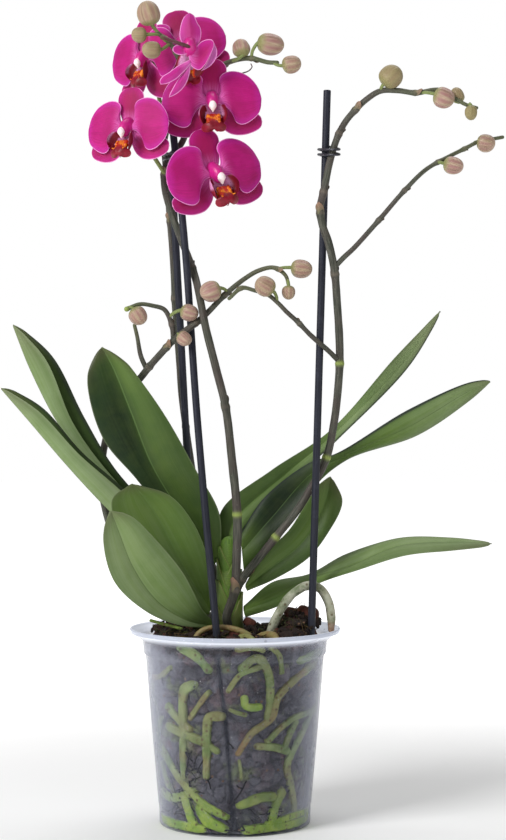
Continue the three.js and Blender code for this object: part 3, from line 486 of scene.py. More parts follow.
def paint_bark():
    """Damp bark chips and peat: almost black brown, with chips of a redder brown, dusty edges and a rough
    broken grain, and painted shade in the crevices between chunks and in the groove where a stake presses.
    Against the pot's wall it is dulled by grey fog with red, green and dark smears, all but the stake's slot."""
    coat = Coat("bark_and_peat", specular_ior_level=0.2)
    grain, clump = coat.cloud(420, 0.3, 0.7), coat.cloud(90, 0.35, 0.7)
    coat.colour = coat.blend(coat.spread(coat.field("tone"), 0.6, 1.0), (36, 29, 29), (108, 58, 48))
    coat.over(clump, (26, 20, 20), 0.5)
    coat.over(grain, (86, 66, 54), 0.3)
    coat.over("moss", (112, 132, 62))
    wall = coat.field("fog")
    fog = coat.blend(coat.cloud(37, 0.36, 0.64), (82, 82, 92), (126, 127, 138))
    coat.over(wall, fog, coat.spread(clump, 0, 1, 0.85, 0.45))
    for scale, low, share, smear in ((53, 0.55, 0.6, (112, 84, 84)), (46, 0.53, 0.6, (124, 138, 84)),
                                     (71, 0.56, 0.75, (34, 34, 42))):
        coat.over(coat.cloud(scale, low, low + 0.12), smear, coat.times(wall, share))
    # painted shade: deep darkens the crevices between chunks, less against the wall; the crumbs, tufts and
    # wall fibres given it are darkened too
    coat.over("deep", (12, 10, 11), coat.spread(wall, 0, 1, 1.0, 0.5))
    # painted shade: the stake's groove down the side is darkened to a near black blue
    coat.over("slot", (18, 21, 32))
    coat.over(coat.flecks(330, 0.12, 0.35), (120, 92, 70))
    return coat.finish(coat.spread(grain, 0, 1, 0.65, 0.95), (grain, 0.9, 0.9))


def paint_root(name, roughness, green, pale, brown):
    """Velamen: a spongy skin between two greens, pale where dry, yellow green where it is fresh, with
    brown flecks and a brown growing tip."""
    coat = Coat(name, roughness=roughness)
    patches, fine = coat.cloud(110, 0.36, 0.66), coat.cloud(520, 0.3, 0.7)
    coat.colour = coat.blend(patches, green, pale)
    coat.over(coat.cloud(30, 0.35, 0.65), brown, 0.4)
    coat.over("fresh", coat.blend(patches, (108, 148, 20), (158, 180, 58)))
    coat.over(coat.spread(coat.field("tone"), 0.3, 1.0), brown)
    coat.over(fine, pale, 0.4)
    for scale, share, size in ((340, 0.4, 0.36), (190, 0.22, 0.3)):
        coat.over(coat.flecks(scale, share, size), (84, 64, 36), 0.85)
    return coat.finish(relief=(fine, 0.5, 0.4))


def paint_stake():
    """Dark blue-grey plastic stakes with a drawn lengthwise grain and rubbed, paler scuffs."""
    coat = Coat("stake_plastic", specular_ior_level=0.25)
    drawn = coat.strands(26, 0.05, 0.3, 0.7, "round")
    coat.colour = coat.blend(drawn, (24, 26, 36), (38, 40, 52))
    coat.over(coat.cloud(150, 0.55, 0.8), (66, 70, 84), 0.35)
    return coat.finish(coat.spread(drawn, 0, 1, 0.38, 0.55), (drawn, 0.3, 0.15))


def paint_clip():
    """Smooth black plastic wire, duller where it is scuffed."""
    coat = Coat("clip_wire")
    scuff = coat.cloud(600, 0.4, 0.7)
    coat.colour = coat.blend(scuff, (26, 26, 34), (52, 52, 62))
    return coat.finish(coat.spread(scuff, 0, 1, 0.3, 0.5))


def paint_stem():
    """Flower spikes: grey-green streaked with purple brown, and fine pale dots. tone runs from the dark
    foot (0) to young green growth (1), ring marks yellow-green nodes and scar pale node lines."""
    coat = Coat("spike_skin", roughness=0.55, specular_ior_level=0.25)
    streak = coat.strands(16, 0.09, 0.32, 0.68, "round")
    coat.colour = coat.blend(streak, (48, 52, 43), (84, 84, 74))
    coat.over(coat.cloud(70, 0.35, 0.7), (74, 62, 60), 0.65)
    coat.over("tone", (132, 146, 84))
    coat.over("red", (74, 32, 42))
    coat.over("ring", (136, 152, 76))
    coat.over("scar", (158, 138, 120))
    coat.over(coat.flecks(620, 0.25, 0.22), (150, 156, 138), 0.35)
    return coat.finish(relief=(streak, 0.4, 0.3))


def paint_bract():
    """Papery sheaths at the nodes, green at the foot and drying to pinkish brown at the tip."""
    coat = Coat("node_bract", roughness=0.6)
    lines = coat.strands(9, 1.5, 0.3, 0.7)
    coat.colour = coat.blend(coat.field("along"), (96, 104, 70), (150, 112, 92))
    coat.over(lines, (92, 72, 60), 0.5)
    return coat.finish(relief=(lines, 0.4, 0.25))


def paint_bud():
    """Closed buds: cream beige ribs with dusty pink between them, dark pink lines where the sepals
    meet, fine veins, and green toward the stalk."""
    coat = Coat("bud_skin", roughness=0.5, sheen_weight=0.1, specular_ior_level=0.35)
    veins = coat.strands(40, 2.2, 0.38, 0.62, "round")
    coat.colour = coat.blend(coat.cloud(160, 0.3, 0.7), (168, 152, 122), (188, 164, 144))
    coat.over("groove", (150, 98, 106), 0.85)
    coat.over(veins, (146, 106, 94), 0.5)
    coat.over("seam", (112, 60, 74))
    coat.over(coat.spread(coat.field("along"), 0.3, 0.04, 0.0, 0.85), (122, 126, 70))
    coat.over("tone", (132, 124, 78))
    return coat.finish(relief=(veins, 0.35, 0.3))


def paint_leaf():
    """Leathery leaves: tone runs from the dark upper side (0) over olive green to the pale underside
    (1), where a darker half is partly painted shade on the half turned from the light. Fine parallel
    veins, a midrib line, clouding, pale lengthwise streaks on the underside, painted shade darkening each
    half away from the midrib for roundness, dull purple toward the tip's edge, dark rims where the other
    side folds over, partly painted shade, and a few tan scars."""
    coat = Coat("leaf_skin", specular_ior_level=0.16)
    across, along, tone, edge = (coat.field(name) for name in ("across", "along", "tone", "edge"))
    veins = coat.effect(VEINS, place=coat.spot, across=across, count=17, width=0.4)
    threads, cloud = coat.strands(42, 3, 0.25, 0.75), coat.cloud(24, 0.3, 0.7)
    deep = coat.blend(cloud, (10, 26, 15), (22, 43, 20))
    olive = coat.blend(cloud, (74, 101, 40), (90, 114, 50))
    coat.colour = coat.blend(coat.spread(tone, 0.0, 0.5, soft=False), deep, olive)
    pale = coat.blend(cloud, (110, 132, 80), (136, 154, 108))
    coat.over(coat.spread(tone, 0.5, 1.0, soft=False), pale)
    coat.over(threads, (92, 120, 60), 0.07)
    coat.over(coat.strands(7, 1.4, 0.3, 0.75), (164, 176, 150), coat.spread(tone, 0.2, 1.0, 0.02, 0.22))
    coat.over(coat.cloud(130, 0.3, 0.75), (96, 112, 40), 0.11)
    coat.over(veins, (36, 60, 30), 0.08)
    from_rib = coat.calc("ABSOLUTE", across)
    rib = coat.spread(from_rib, 0.035, 0.0)
    coat.over(rib, coat.blend(coat.spread(tone, 0.2, 0.75), (96, 124, 70), (66, 84, 44)), 0.55)
    coat.over(coat.spread(along, 0.14, 0.0, 0.0, 0.35), (112, 142, 58))
    # painted shade: each half darkens toward its outer edge, for roundness
    coat.over(coat.spread(from_rib, 0.35, 1.0, 0.0, 0.3), (30, 50, 26))
    tip_edge = coat.times(coat.spread(along, 0.7, 1.0), coat.spread(edge, 9.0, 0.5))
    coat.over(tip_edge, (84, 70, 62), 0.4)
    coat.over(coat.spread(edge, 0.7, 0.2, 0.0, 0.3), (126, 136, 104))
    # rim: a dark strip along an edge, partly the other side folding over and partly painted shade
    coat.over("rim", (34, 44, 34))
    coat.over(coat.flecks(75, 0.04, 0.05), (158, 140, 98))
    height = coat.calc("ADD", coat.times(veins, -0.4), coat.times(threads, 0.12))
    height = coat.calc("SUBTRACT", height, coat.times(rib, 0.7))
    height = coat.times(height, coat.spread(along, 0.3, 0.75, 1, 0))
    return coat.finish(coat.spread(tone, 0, 0.8, 0.38, 0.52), (height, 0.25, 0.3))


def paint_sheath():
    """Bright, young green of the leaf bases round the stem, paler and drier low down."""
    coat = Coat("sheath_skin", roughness=0.5, specular_ior_level=0.3)
    threads = coat.strands(30, 2, 0.3, 0.7)
    coat.colour = coat.blend(threads, (66, 98, 28), (96, 128, 44))
    coat.over(coat.spread(coat.field("edge"), 0.9, 0.1, 0.0, 0.7), (124, 132, 74))
    coat.over("tone", (118, 120, 66))
    return coat.finish(relief=(threads, 0.35, 0.3))


def paint_tepal():
    """Velvety magenta: crimson down the sepals' middle, rays of pale pink from the bloom's centre, fine
    darker veins fanning to the edge, a lighter lilac band near the rim that is painted sheen, and a thin
    pale edge line. The back is a paler lilac."""
    coat = Coat("tepal_velvet", roughness=0.55, sheen_weight=0.25, sheen_tint=rgb(255, 170, 225),
                sheen_roughness=0.4, specular_ior_level=0.2, subsurface_weight=0.08,
                subsurface_radius=(0.004, 0.0008, 0.002))
    edge, sepal = coat.field("edge"), coat.field("sepal")
    ray, fine = coat.strands(15, 1.1, 0.3, 0.7), coat.strands(48, 2, 0.35, 0.65)
    cloud = coat.cloud(75, 0.3, 0.7)
    coat.colour = coat.blend(cloud, (160, 10, 96), (182, 18, 118))
    middle = coat.spread(coat.calc("ABSOLUTE", coat.field("across")), 0.95, 0.2, 0.15, 1.0)
    coat.over(sepal, coat.blend(cloud, (142, 10, 68), (158, 12, 82)), middle)
    petal = coat.calc("SUBTRACT", 1.0, coat.times(sepal, 0.7))
    # painted sheen: a lighter lilac band near the rims of the petals, fainter on the sepals
    coat.over(coat.spread(edge, 5.0, 0.5, 0.0, 0.75), (188, 34, 150), petal)
    coat.over(fine, (134, 6, 82), 0.42)
    near = coat.spread(coat.field("along"), 0.42, 0.06, 0.0, 0.95)
    coat.over(near, (226, 112, 192), coat.spread(ray, 0, 1, 0.25, 1.0))
    coat.over(coat.calc("SUBTRACT", 1.0, coat.field("front")), (186, 104, 170), 0.8)
    coat.over(coat.spread(edge, 0.62, 0.22, 0.0, 0.85), (228, 150, 206))
    height = coat.calc("SUBTRACT", coat.times(fine, 0.4), coat.times(ray, 0.8))
    return coat.finish(relief=(height, 0.3, 0.3))


def paint_column():
    """The column: magenta behind, its cap cream white with a pink flush."""
    coat = Coat("column_cap", roughness=0.35, subsurface_weight=0.1,
                subsurface_radius=(0.002, 0.001, 0.001))
    coat.colour = coat.blend(coat.cloud(420, 0.3, 0.7), (246, 238, 232), (236, 208, 216))
    coat.over("tone", (190, 26, 124))
    return coat.finish()


def paint_lip():
    """The lip: dark blood red, velvety, orange and yellow on the callus with red streaks, and pale with
    purple dots at the foot of the side lobes."""
    coat = Coat("lip_velvet", roughness=0.42, specular_ior_level=0.3)
    cloud = coat.cloud(260, 0.3, 0.7)
    coat.colour = coat.blend(cloud, (108, 6, 26), (136, 12, 40))
    coat.over("dark", (92, 6, 24), 0.7)
    coat.over("pale", coat.blend(coat.flecks(1500, 0.75, 0.42), (196, 132, 176), (112, 20, 84)))
    coat.over("callus", coat.blend(coat.spread(cloud, 0.35, 0.65), (226, 124, 26), (176, 36, 16)))
    coat.over(coat.spread(coat.field("edge"), 0.35, 0.1, 0.0, 0.35), (186, 60, 70))
    return coat.finish(relief=(cloud, 0.3, 0.25))


POT_PLASTIC, BARK, STAKE, CLIP = paint_pot(), paint_bark(), paint_stake(), paint_clip()
ROOT = paint_root("root_velamen", 0.55, (74, 106, 36), (136, 156, 94), (134, 98, 62))
AERIAL = paint_root("aerial_velamen", 0.75, (84, 102, 62), (176, 178, 158), (128, 84, 58))
STEM, BRACT, BUD = paint_stem(), paint_bract(), paint_bud()
LEAF, SHEATH = paint_leaf(), paint_sheath()
TEPAL, COLUMN, LIP = paint_tepal(), paint_column(), paint_lip()


# ------------------------------------------------------------------ camera, floor and light

PHOTO = (506, 840)                       # the photograph's width and height
FOCAL = 1925.0                           # focal length in its pixels
CAMERA = (10.3, -1100.0, 229.3)
SENSOR_WIDTH = 36.0

camera_data = bpy.data.cameras.new("camera")
camera_data.sensor_fit = "AUTO"
camera_data.sensor_width = SENSOR_WIDTH
camera_data.lens = SENSOR_WIDTH * FOCAL / PHOTO[1]
camera = bpy.data.objects.new("camera", camera_data)
camera.location = tuple(c * MM for c in CAMERA)
camera.rotation_euler = (np.pi / 2, 0, 0)
bpy.context.scene.collection.objects.link(camera)
bpy.context.scene.camera = camera
bpy.context.scene.view_settings.view_transform = "Standard"


def area_light(name, place_mm, aim_mm, size_mm, watts):
    """A square soft light that looks from its place to its aim."""
    lamp = bpy.data.lights.new(name, "AREA")
    lamp.energy, lamp.size = watts, size_mm * MM
    thing = bpy.data.objects.new(name, lamp)
    spot, aim = np.array(place_mm, float), np.array(aim_mm, float)
    z = unit(spot - aim)
    x = unit(np.cross([0, 0, 1.0], z))
    y = np.cross(z, x)
    matrix = np.eye(4)
    matrix[:3, :3] = np.stack([x, y, z], 1)
    matrix[:3, 3] = spot * MM
    thing.matrix_world = Matrix(matrix.tolist())
    bpy.context.scene.collection.objects.link(thing)


area_light("key", (-1150, -1050, 1150), (0, 0, 230), 700, 26)
area_light("fill", (1200, -900, 300), (0, 0, 230), 1200, 2.5)
area_light("top", (200, 500, 1500), (0, 0, 250), 1000, 9)

world = bpy.data.worlds.new("studio")
world.use_nodes = True
sky = Nodes(world.node_tree)
backdrop = sky.tree.nodes["Background"]
backdrop.inputs[0].default_value = (1, 1, 1, 1)
seen = sky.add("LightPath", {}, "Is Camera Ray")
sky.wire(backdrop.inputs[1], sky.spread(seen, 0, 1, 0.3, 1.0, soft=False))
bpy.context.scene.world = world


def floor():
    """A level disc 12 m across. It glows faintly outside its middle, as a lit studio's white sweep
    does, so that it meets the white backdrop without a line."""
    coat = Coat("pale_floor", roughness=0.9, emission_strength=0.8)
    coat.colour = coat.blend(coat.cloud(2, 0.3, 0.7), (0.93, 0.93, 0.93, 1), (0.95, 0.95, 0.95, 1))
    away = coat.add("VectorMath", {0: coat.spot}, "Value", operation="LENGTH")
    coat.feed("Emission Color", coat.blend(coat.spread(away, 0.15, 0.9), (0, 0, 0, 1), (1, 1, 1, 1)))
    made = coat.finish()
    r = np.geomspace(5, 6000, 40)[:, None]
    a = np.linspace(0, TURN, 65)[None, :]
    grid = np.stack([r * np.cos(a), r * np.sin(a), 0 * r * a - 0.05], -1)
    build("floor", [surface(grid, open_sheet=True)], [made], body=None)


floor()


# ------------------------------------------------------------------ pot

POT_HEIGHT, POT_WALL, RIM_RADIUS = 111.0, 1.1, 60.0
POT_COLUMNS, DRAIN_COUNT, DRAIN_RADIUS, DRAIN_CIRCLE = 144, 8, 3.0, 27.0
FOOT_HEIGHT, FOOT_RADIUS, SHOULDER_HEIGHT, SHOULDER_RADIUS = 11, 43.6, 96, 51
# faint dark lines where the wall bends: their heights, half widths and strengths
WALL_LINES = ((97.2, 0.5, 0.7), (104.8, 0.5, 0.8), (11.0, 0.4, 0.45), (1.4, 0.6, 0.3))


def wall_radius(z):
    """The pot's outer radius: a straight taper between its foot band and its shoulder."""
    rise = SHOULDER_HEIGHT - FOOT_HEIGHT
    return FOOT_RADIUS + (np.asarray(z, float) - FOOT_HEIGHT) * (SHOULDER_RADIUS - FOOT_RADIUS) / rise


def inside_radius(z):
    """The pot's inner radius, with a lighter taper inside the foot band."""
    z = np.asarray(z, float)
    return np.where(z < FOOT_HEIGHT, 41.9 + z / FOOT_HEIGHT, wall_radius(z) - POT_WALL)


def on_wall(path, inset):
    """Points [angle from the front, height] laid against the inside of the pot's wall, inset from it."""
    path = np.asarray(path, float)
    turn, r = np.radians(path[:, 0]), inside_radius(path[:, 1]) - inset
    return np.stack([r * np.sin(turn), -r * np.cos(turn), path[:, 1]], 1)


def pot():
    """The pot as a profile turned round the upright axis: radius and height for each point of the
    profile, outside upward and inside downward. Drain holes are cut through its floor."""
    wall_z = np.linspace(11.6, 95.6, 16)
    outer = [[0.01, 0], [30, 0], [41.4, 0], [42.3, 0.1], [42.8, 0.4], [43.0, 0.9], [43.05, 2.4],
             [43.2, 7], [43.3, 10.4], [43.35, 10.9], [43.55, 11.2],
             *[[float(wall_radius(z)), z] for z in wall_z],
             [51.3, 96.2], [51.9, 96.8], [52.2, 97.6], [52.4, 100.8], [52.6, 103.6], [53.2, 104.6],
             [55.6, 106.3], [58.2, 107.9], [59.3, 108.3], [59.85, 108.9], [60, 109.6], [60, 110.5]]
    inner = [[59.8, 110.9], [59.4, POT_HEIGHT], [58.9, 110.9], [58.4, 110.2], [57.9, 109.5], [54.6, 107.3],
             [52.2, 105.2], [51.6, 104.4], [51.3, 101], [51.05, 98.2], [50.5, 97.0],
             *[[float(inside_radius(z)), z] for z in wall_z[::-1]],
             [42.3, 10.8], [42.1, 8], [41.9, 3.2], [41.4, 2.1], [40.4, 1.6], [30, 1.6], [0.01, 1.6]]
    profile = np.array(outer + inner)
    profile[:, 0] = np.minimum(profile[:, 0], RIM_RADIUS)
    a = around(POT_COLUMNS)
    r, z = profile[:, :1], profile[:, 1:]
    lean = 0.15 * np.sin(2 * a) * smooth(z, 40, 100)
    r = np.minimum(r + lean * (r > 5), RIM_RADIUS - 0.02)
    grid = np.stack([r * np.cos(a), r * np.sin(a), z + 0 * r * a], -1)
    outside = (np.arange(len(profile)) < len(outer))[:, None]
    line = sum(bell(z, at, wide) * share for at, wide, share in WALL_LINES)
    line = np.minimum(1, line * outside + (r > 59.6))
    # rim marks the milky rim band, which also carries the material's painted glow
    shell = surface(grid, rim=smooth(z, 104.5, 108.5), line=line, foot=smooth(z, 26, 4))
    thing = build("fine_pot", [shell], [POT_PLASTIC], body=None)
    bits = []
    for k in range(DRAIN_COUNT):
        angle = (k + 0.5) * TURN / DRAIN_COUNT
        x, y = DRAIN_CIRCLE * np.cos(angle), DRAIN_CIRCLE * np.sin(angle)
        line = np.array([[x, y, -4.0], [x, y, 0.0], [x, y, 4.0]])
        bits.append(tube(line, np.full(3, DRAIN_RADIUS), sides=20, rounded=False))
    cutter = build("drain_cutter", bits, [POT_PLASTIC], body=None)
    cut = thing.modifiers.new("drain", "BOOLEAN")
    cut.operation, cut.solver, cut.object = "DIFFERENCE", "EXACT", cutter
    bpy.context.view_layer.update()
    graph = bpy.context.evaluated_depsgraph_get()
    solid = bpy.data.meshes.new_from_object(thing.evaluated_get(graph))
    thing.modifiers.clear()
    thing.data = solid
    bpy.data.objects.remove(cutter)
    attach(thing, "root")
    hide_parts("pot")


pot()


# ------------------------------------------------------------------ bark and peat

SOIL_LEVEL, SOIL_BOTTOM = 106.0, 2.1


def soil_height(x, y):
    """The filling's top: a level, a mound on the right, a lower one on the left, a raised chunk in
    front of the stem, and lumps."""
    mound = 13 * np.exp(-(((x - 36) / 13) ** 2 + ((y - 4) / 22) ** 2))
    chunk = 3.5 * np.exp(-(((x - 4) / 9) ** 2 + ((y + 12) / 10) ** 2))
    left = 5 * np.exp(-(((x + 38) / 13) ** 2 + ((y - 6) / 24) ** 2))
    return SOIL_LEVEL + mound + chunk + left + 1.2 * np.sin(0.31 * x + 1.3) * np.cos(0.27 * y - 0.6)


def chunks(points, count, size, seed):
    """Splits points into random chunks round seeded centres. Gives each point its chunk's random draw
    and how deep it lies in the crevice between its two nearest centres, from 0 to 1."""
    draw = np.random.default_rng(seed)
    centres = points[draw.choice(len(points), count, replace=False)]
    stretch = np.array([1.0, 1.0, 1.35])
    nearest = np.full(len(points), 1e9)
    second, which = nearest.copy(), np.zeros(len(points), int)
    for k, centre in enumerate(centres * stretch):
        distance = np.linalg.norm(points * stretch - centre, axis=1)
        closer = distance < nearest
        second = np.where(closer, nearest, np.minimum(second, distance))
        which = np.where(closer, k, which)
        nearest = np.where(closer, distance, nearest)
    tone = draw.uniform(0, 1, count)[which]
    return tone, 1 - smooth(second - nearest, 0.0, size)


# heights up the filling's side, and the angle from the front at which a stake presses against it
STAKE_LINE = ([1, 9, 40.8, 72.5, 79.2, 88, 96], [2.2, -1, -3.9, -7.1, -8.4, -9.6, -10.6])
BODY_TOP, WALL_GAP = 99.0, 1.6
BODY_COLUMNS, FLOOR_ROWS, WALL_ROWS, TOP_ROWS, BODY_CHUNKS = 260, 10, 96, 55, 620
CHIP_COUNT, CRUMB_COUNT, FIBRE_COUNT, TUFT_COUNT, WALL_FIBRE_COUNT = 110, 520, 170, 90, 130
# where the dark fibres on the wall are thickest: angles from the front and heights
WALL_CLUMPS = [[-46, 16], [-31, 32], [22, 5], [62, 30]]
# chunks that show in front, [centre, sizes, axis, tone]: two red ones by the stem, one on the mound, a
# dark one before it and one on the left
FRONT_CHUNKS = [
    ((1.5, -24, 109.0), (9.5, 7, 7.5), (0.2, 0, 1), 0.95),
    ((8.5, -8, 114.5), (7, 6, 5), (0.5, 0, 1), 0.9),
    ((42, 0, 119.2), (12.5, 9, 6.5), (0.25, 0, 1), 0.9),
    ((30, -30, 108.5), (9, 7, 6), (0, 0.4, 1), 0.2),
    ((-26, -38, 105.5), (9, 6, 5), (0.4, 0, 1), 0.5),
]
PALE_STRIP = [[-47, -20, 116.8], [-39, -21.5, 114.8], [-30, -23, 112.6]]


def packed_body():
    """The filling's bottom, side and top as rings of points, pushed in and out by random chunks, with
    a slot down its side where a stake presses against it."""
    a = around(BODY_COLUMNS)
    wall = np.linspace(SOIL_BOTTOM + 0.3, BODY_TOP, WALL_ROWS)
    top_radius = float(inside_radius(BODY_TOP)) - WALL_GAP
    r = np.r_[np.linspace(0.4, 39.5, FLOOR_ROWS), inside_radius(wall) - WALL_GAP,
              np.linspace(1, 0.01, TOP_ROWS + 1)[1:] * top_radius][:, None]
    z = np.r_[np.full(FLOOR_ROWS, SOIL_BOTTOM), wall, np.full(TOP_ROWS, BODY_TOP)][:, None] + 0 * a
    x, y = r * np.cos(a), r * np.sin(a)
    row = np.arange(len(r))[:, None]
    is_top = row >= FLOOR_ROWS + WALL_ROWS
    is_wall = (row >= FLOOR_ROWS) & ~is_top
    z = np.where(is_top, soil_height(x, y) - 1.2, z)
    points = np.stack([x, y, z], -1)
    tone, deep = (v.reshape(x.shape) for v in chunks(points.reshape(-1, 3), BODY_CHUNKS, 1.5, 3))
    rough = ripple(points, 5.0, 5) * 0.5 + ripple(points, 2.2, 6) * 0.35
    front = np.degrees(np.arctan2(x, -y))
    line = np.interp(z, *STAKE_LINE)
    pressed = np.minimum(1, 1.25 * bell(front, line, 1.7 + 2.4 * smooth(z, 30, 2)))
    slot = np.where(is_wall, pressed, 0)
    push = np.where(is_wall, 0.9 * tone - 1.7 * deep + rough * 0.8 - 0.6 - 1.2 * slot, 0)
    grow = 1 + push / np.maximum(r, 1)
    lift = np.where(is_top, 2.6 * tone - 2.6 * deep + rough * 1.6, 0) * smooth(r, 2, 8)
    lift = lift - np.where(is_top, smooth(r / top_radius, 0.9, 1.0) * (z - BODY_TOP) * 0.6, 0)
    grid = np.stack([x * grow, y * grow, z + lift], -1)
    # deep and slot also feed the bark's painted shade in the crevices and in the stake's groove
    return surface(grid, tone=tone ** 0.8, deep=deep * 0.85, moss=0.0, slot=slot,
                   fog=np.where(is_wall, 1.0, 0.0))


def scattered(draw, reach, least):
    """A random spot on the filling, as far out as reach, and evenly spread over its round."""
    radius, angle = reach * np.sqrt(draw.uniform(least, 1)), draw.uniform(0, TURN)
    return np.array([radius * np.cos(angle), radius * np.sin(angle)])


def fibre(line, radius, tone, deep, moss):
    """A thin open-ended hair of peat."""
    return tube(line, radius + 0 * line[:, 0], sides=5, rounded=False, tone=tone, deep=deep, moss=moss)


def bark():
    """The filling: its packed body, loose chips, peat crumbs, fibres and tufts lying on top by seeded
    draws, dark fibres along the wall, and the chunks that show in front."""
    parts = [packed_body()]
    draw = np.random.default_rng(12)
    for k in range(CHIP_COUNT):
        spot = scattered(draw, 46, 0.04)
        size = draw.uniform(3.5, 10.5, 3) * np.array([1, 0.75, 0.5])
        height = soil_height(*spot) + draw.uniform(-1.2, 1.6)
        tilt = unit(np.array([draw.normal() * 0.5, draw.normal() * 0.5, 1.0]))
        tone = draw.uniform(0.1, 1) ** 2.0
        mossy = draw.uniform() < 0.06
        parts.append(blob((*spot, height), size, 9, 12, axis=tilt, power=0.55, rough=0.16, seed=200 + k,
                          tone=tone, deep=0.0, moss=0.5 * mossy))
    for k in range(CRUMB_COUNT):
        spot = scattered(draw, 48, 0.02)
        height = soil_height(*spot) + draw.uniform(-0.6, 2.6)
        size, axis = draw.uniform(0.9, 3.4, 3), draw.normal(size=3)
        parts.append(blob((*spot, height), size, 5, 6, axis=axis, rough=0.25, seed=900 + k,
                          tone=draw.uniform(0, 0.7), deep=0.25, moss=0.0))
    for k in range(FIBRE_COUNT):
        start = np.r_[scattered(draw, 44, 0.05), 0]
        path = start + np.cumsum(draw.normal(size=(4, 3)) * [3.2, 3.2, 0], axis=0)
        path[:, 2] = soil_height(path[:, 0], path[:, 1]) + draw.uniform(0.6, 3.2, 4)
        if np.linalg.norm(path[:, :2], axis=1).max() < 48:
            parts.append(fibre(evenly(path, count=9), draw.uniform(0.15, 0.32),
                               draw.uniform(0.2, 1.2), 0.0, 0.2))
    for k in range(TUFT_COUNT):
        spot = np.array([40, -6] if k % 3 else [-36, -16]) + draw.normal(size=2) * [6, 9]
        spot = spot * min(1, 46 / np.linalg.norm(spot))
        foot = np.array([*spot, soil_height(*spot) - 0.5])
        lean = draw.normal(size=3) * [3.2, 3.2, 0.6] + [0, 0, draw.uniform(2.5, 6.5)]
        path = foot + np.array([[0, 0, 0], [0.3, 0.3, 0.5], [1, 1, 1]]) * lean
        parts.append(fibre(evenly(path, count=8), 0.24 - 0.02 * np.arange(8), draw.uniform(0, 1.1),
                           0.2, 0.2))
    for k in range(WALL_FIBRE_COUNT):
        spot = np.array(WALL_CLUMPS[k % 4]) + draw.normal(size=2) * [11, 6]
        if k % 3 == 0:
            spot = np.array([draw.uniform(-180, 180), 5 + 85 * draw.uniform() ** 1.6])
        wander = draw.normal(size=(4, 2)) * [1.2, 0.8] + draw.normal(size=2) * [3.2, 1.8]
        path = spot + np.cumsum(wander, axis=0)
        path[:, 1] = np.clip(path[:, 1], 3.5, 95)
        parts.append(fibre(evenly(on_wall(path, 0.75), count=14), draw.uniform(0.22, 0.5), 0.0, 0.9, 0.0))
    for centre, size, axis, tone in FRONT_CHUNKS:
        parts.append(blob(centre, size, 12, 16, axis=axis, power=0.6, rough=0.14, seed=int(size[0] * 9),
                          tone=tone, deep=0.0, moss=0.0))
    strip = evenly(PALE_STRIP, count=20)
    parts.append(tube(strip, 0.9 + 0 * strip[:, :1], sides=8, tone=0.3, deep=0.0, moss=0.95))
    dress("bark_and_peat", parts, [BARK])


bark()


# ------------------------------------------------------------------ stakes and clips

STAKES = {
    "stake_left": [[-19, 22, 24], [-22.9, 21, 110], [-28.4, 20, 216], [-34.5, 18, 331], [-36.8, 17, 369]],
    "stake_front": [[0.4, -37, 3], [-9.7, -32, 108.7], [-21, -18.5, 230], [-28.4, -7, 328.8],
                    [-35.6, 1, 396]],
    "stake_right": [[42.1, -14.2, 76], [43.2, -14.5, 110], [52.1, -16, 415]],
}
STAKE_RADIUS, CLIP_RADIUS, CLIP_CLIMB = 2.1, 0.65, 5.6


def stake(name):
    """A rod along its line, its cut ends softened over the last third of a millimetre, with a faint
    seam down each side."""
    line = evenly(STAKES[name], step=4)
    slope = basis(line)[0]
    soften = np.array([-0.02, 0.12, 0.3])
    line = np.vstack([line[0] + slope[0] * soften[:, None], line[1:-1],
                      line[-1] - slope[-1] * soften[::-1, None]])
    sides = 26
    a = around(sides)
    radius = STAKE_RADIUS * (1 - 0.035 * bell(a, 1.6, 0.12) - 0.035 * bell(a, 4.74, 0.12))
    radius = np.repeat(radius, len(line), 0)
    radius[[0, -1]] *= 0.8
    radius[[1, -2]] *= 0.95
    return tube(line, radius, sides, rounded=False)


for name in STAKES:
    dress(name, [stake(name)], [STAKE])


def clip(stake_spot, stem_spot, tilt):
    """A wire clip: nearly two turns of an oval round a stake and a stem, climbing CLIP_CLIMB. The
    oval's long way runs along the line from stake to stem, where it tilts, and its ends are knobs."""
    stake_spot, stem_spot = np.array(stake_spot, float), np.array(stem_spot, float)
    reach = stem_spot - stake_spot
    long, along = np.linalg.norm(reach) / 2 + 4.6, unit(reach)
    up = np.array([0, 0, 1.0])
    side = unit(np.cross(up, along))
    k = np.linspace(0, 12, 90)
    angle = np.pi + (k - 0.5) / 11 * 3.6 * np.pi
    line = ((stake_spot + stem_spot) / 2 + along * (long * np.cos(angle))[:, None]
            + side * (4.2 * np.sin(angle))[:, None]
            + up * (tilt * np.cos(angle) + (k / 12 - 0.5) * CLIP_CLIMB)[:, None])
    knob = CLIP_RADIUS * (1 + 0.55 * bell(k, 12, 0.25) + 0.3 * bell(k, 0, 0.25))
    return tube(line, knob, sides=10)


dress("clip_left", [clip([-33.8, -1.2, 379], [-37.8, 6.6, 379], 0.8)], [CLIP])
dress("clip_right", [clip([50.8, -15.7, 380], [55, -22.2, 380], -1.6)], [CLIP])


# ------------------------------------------------------------------ roots

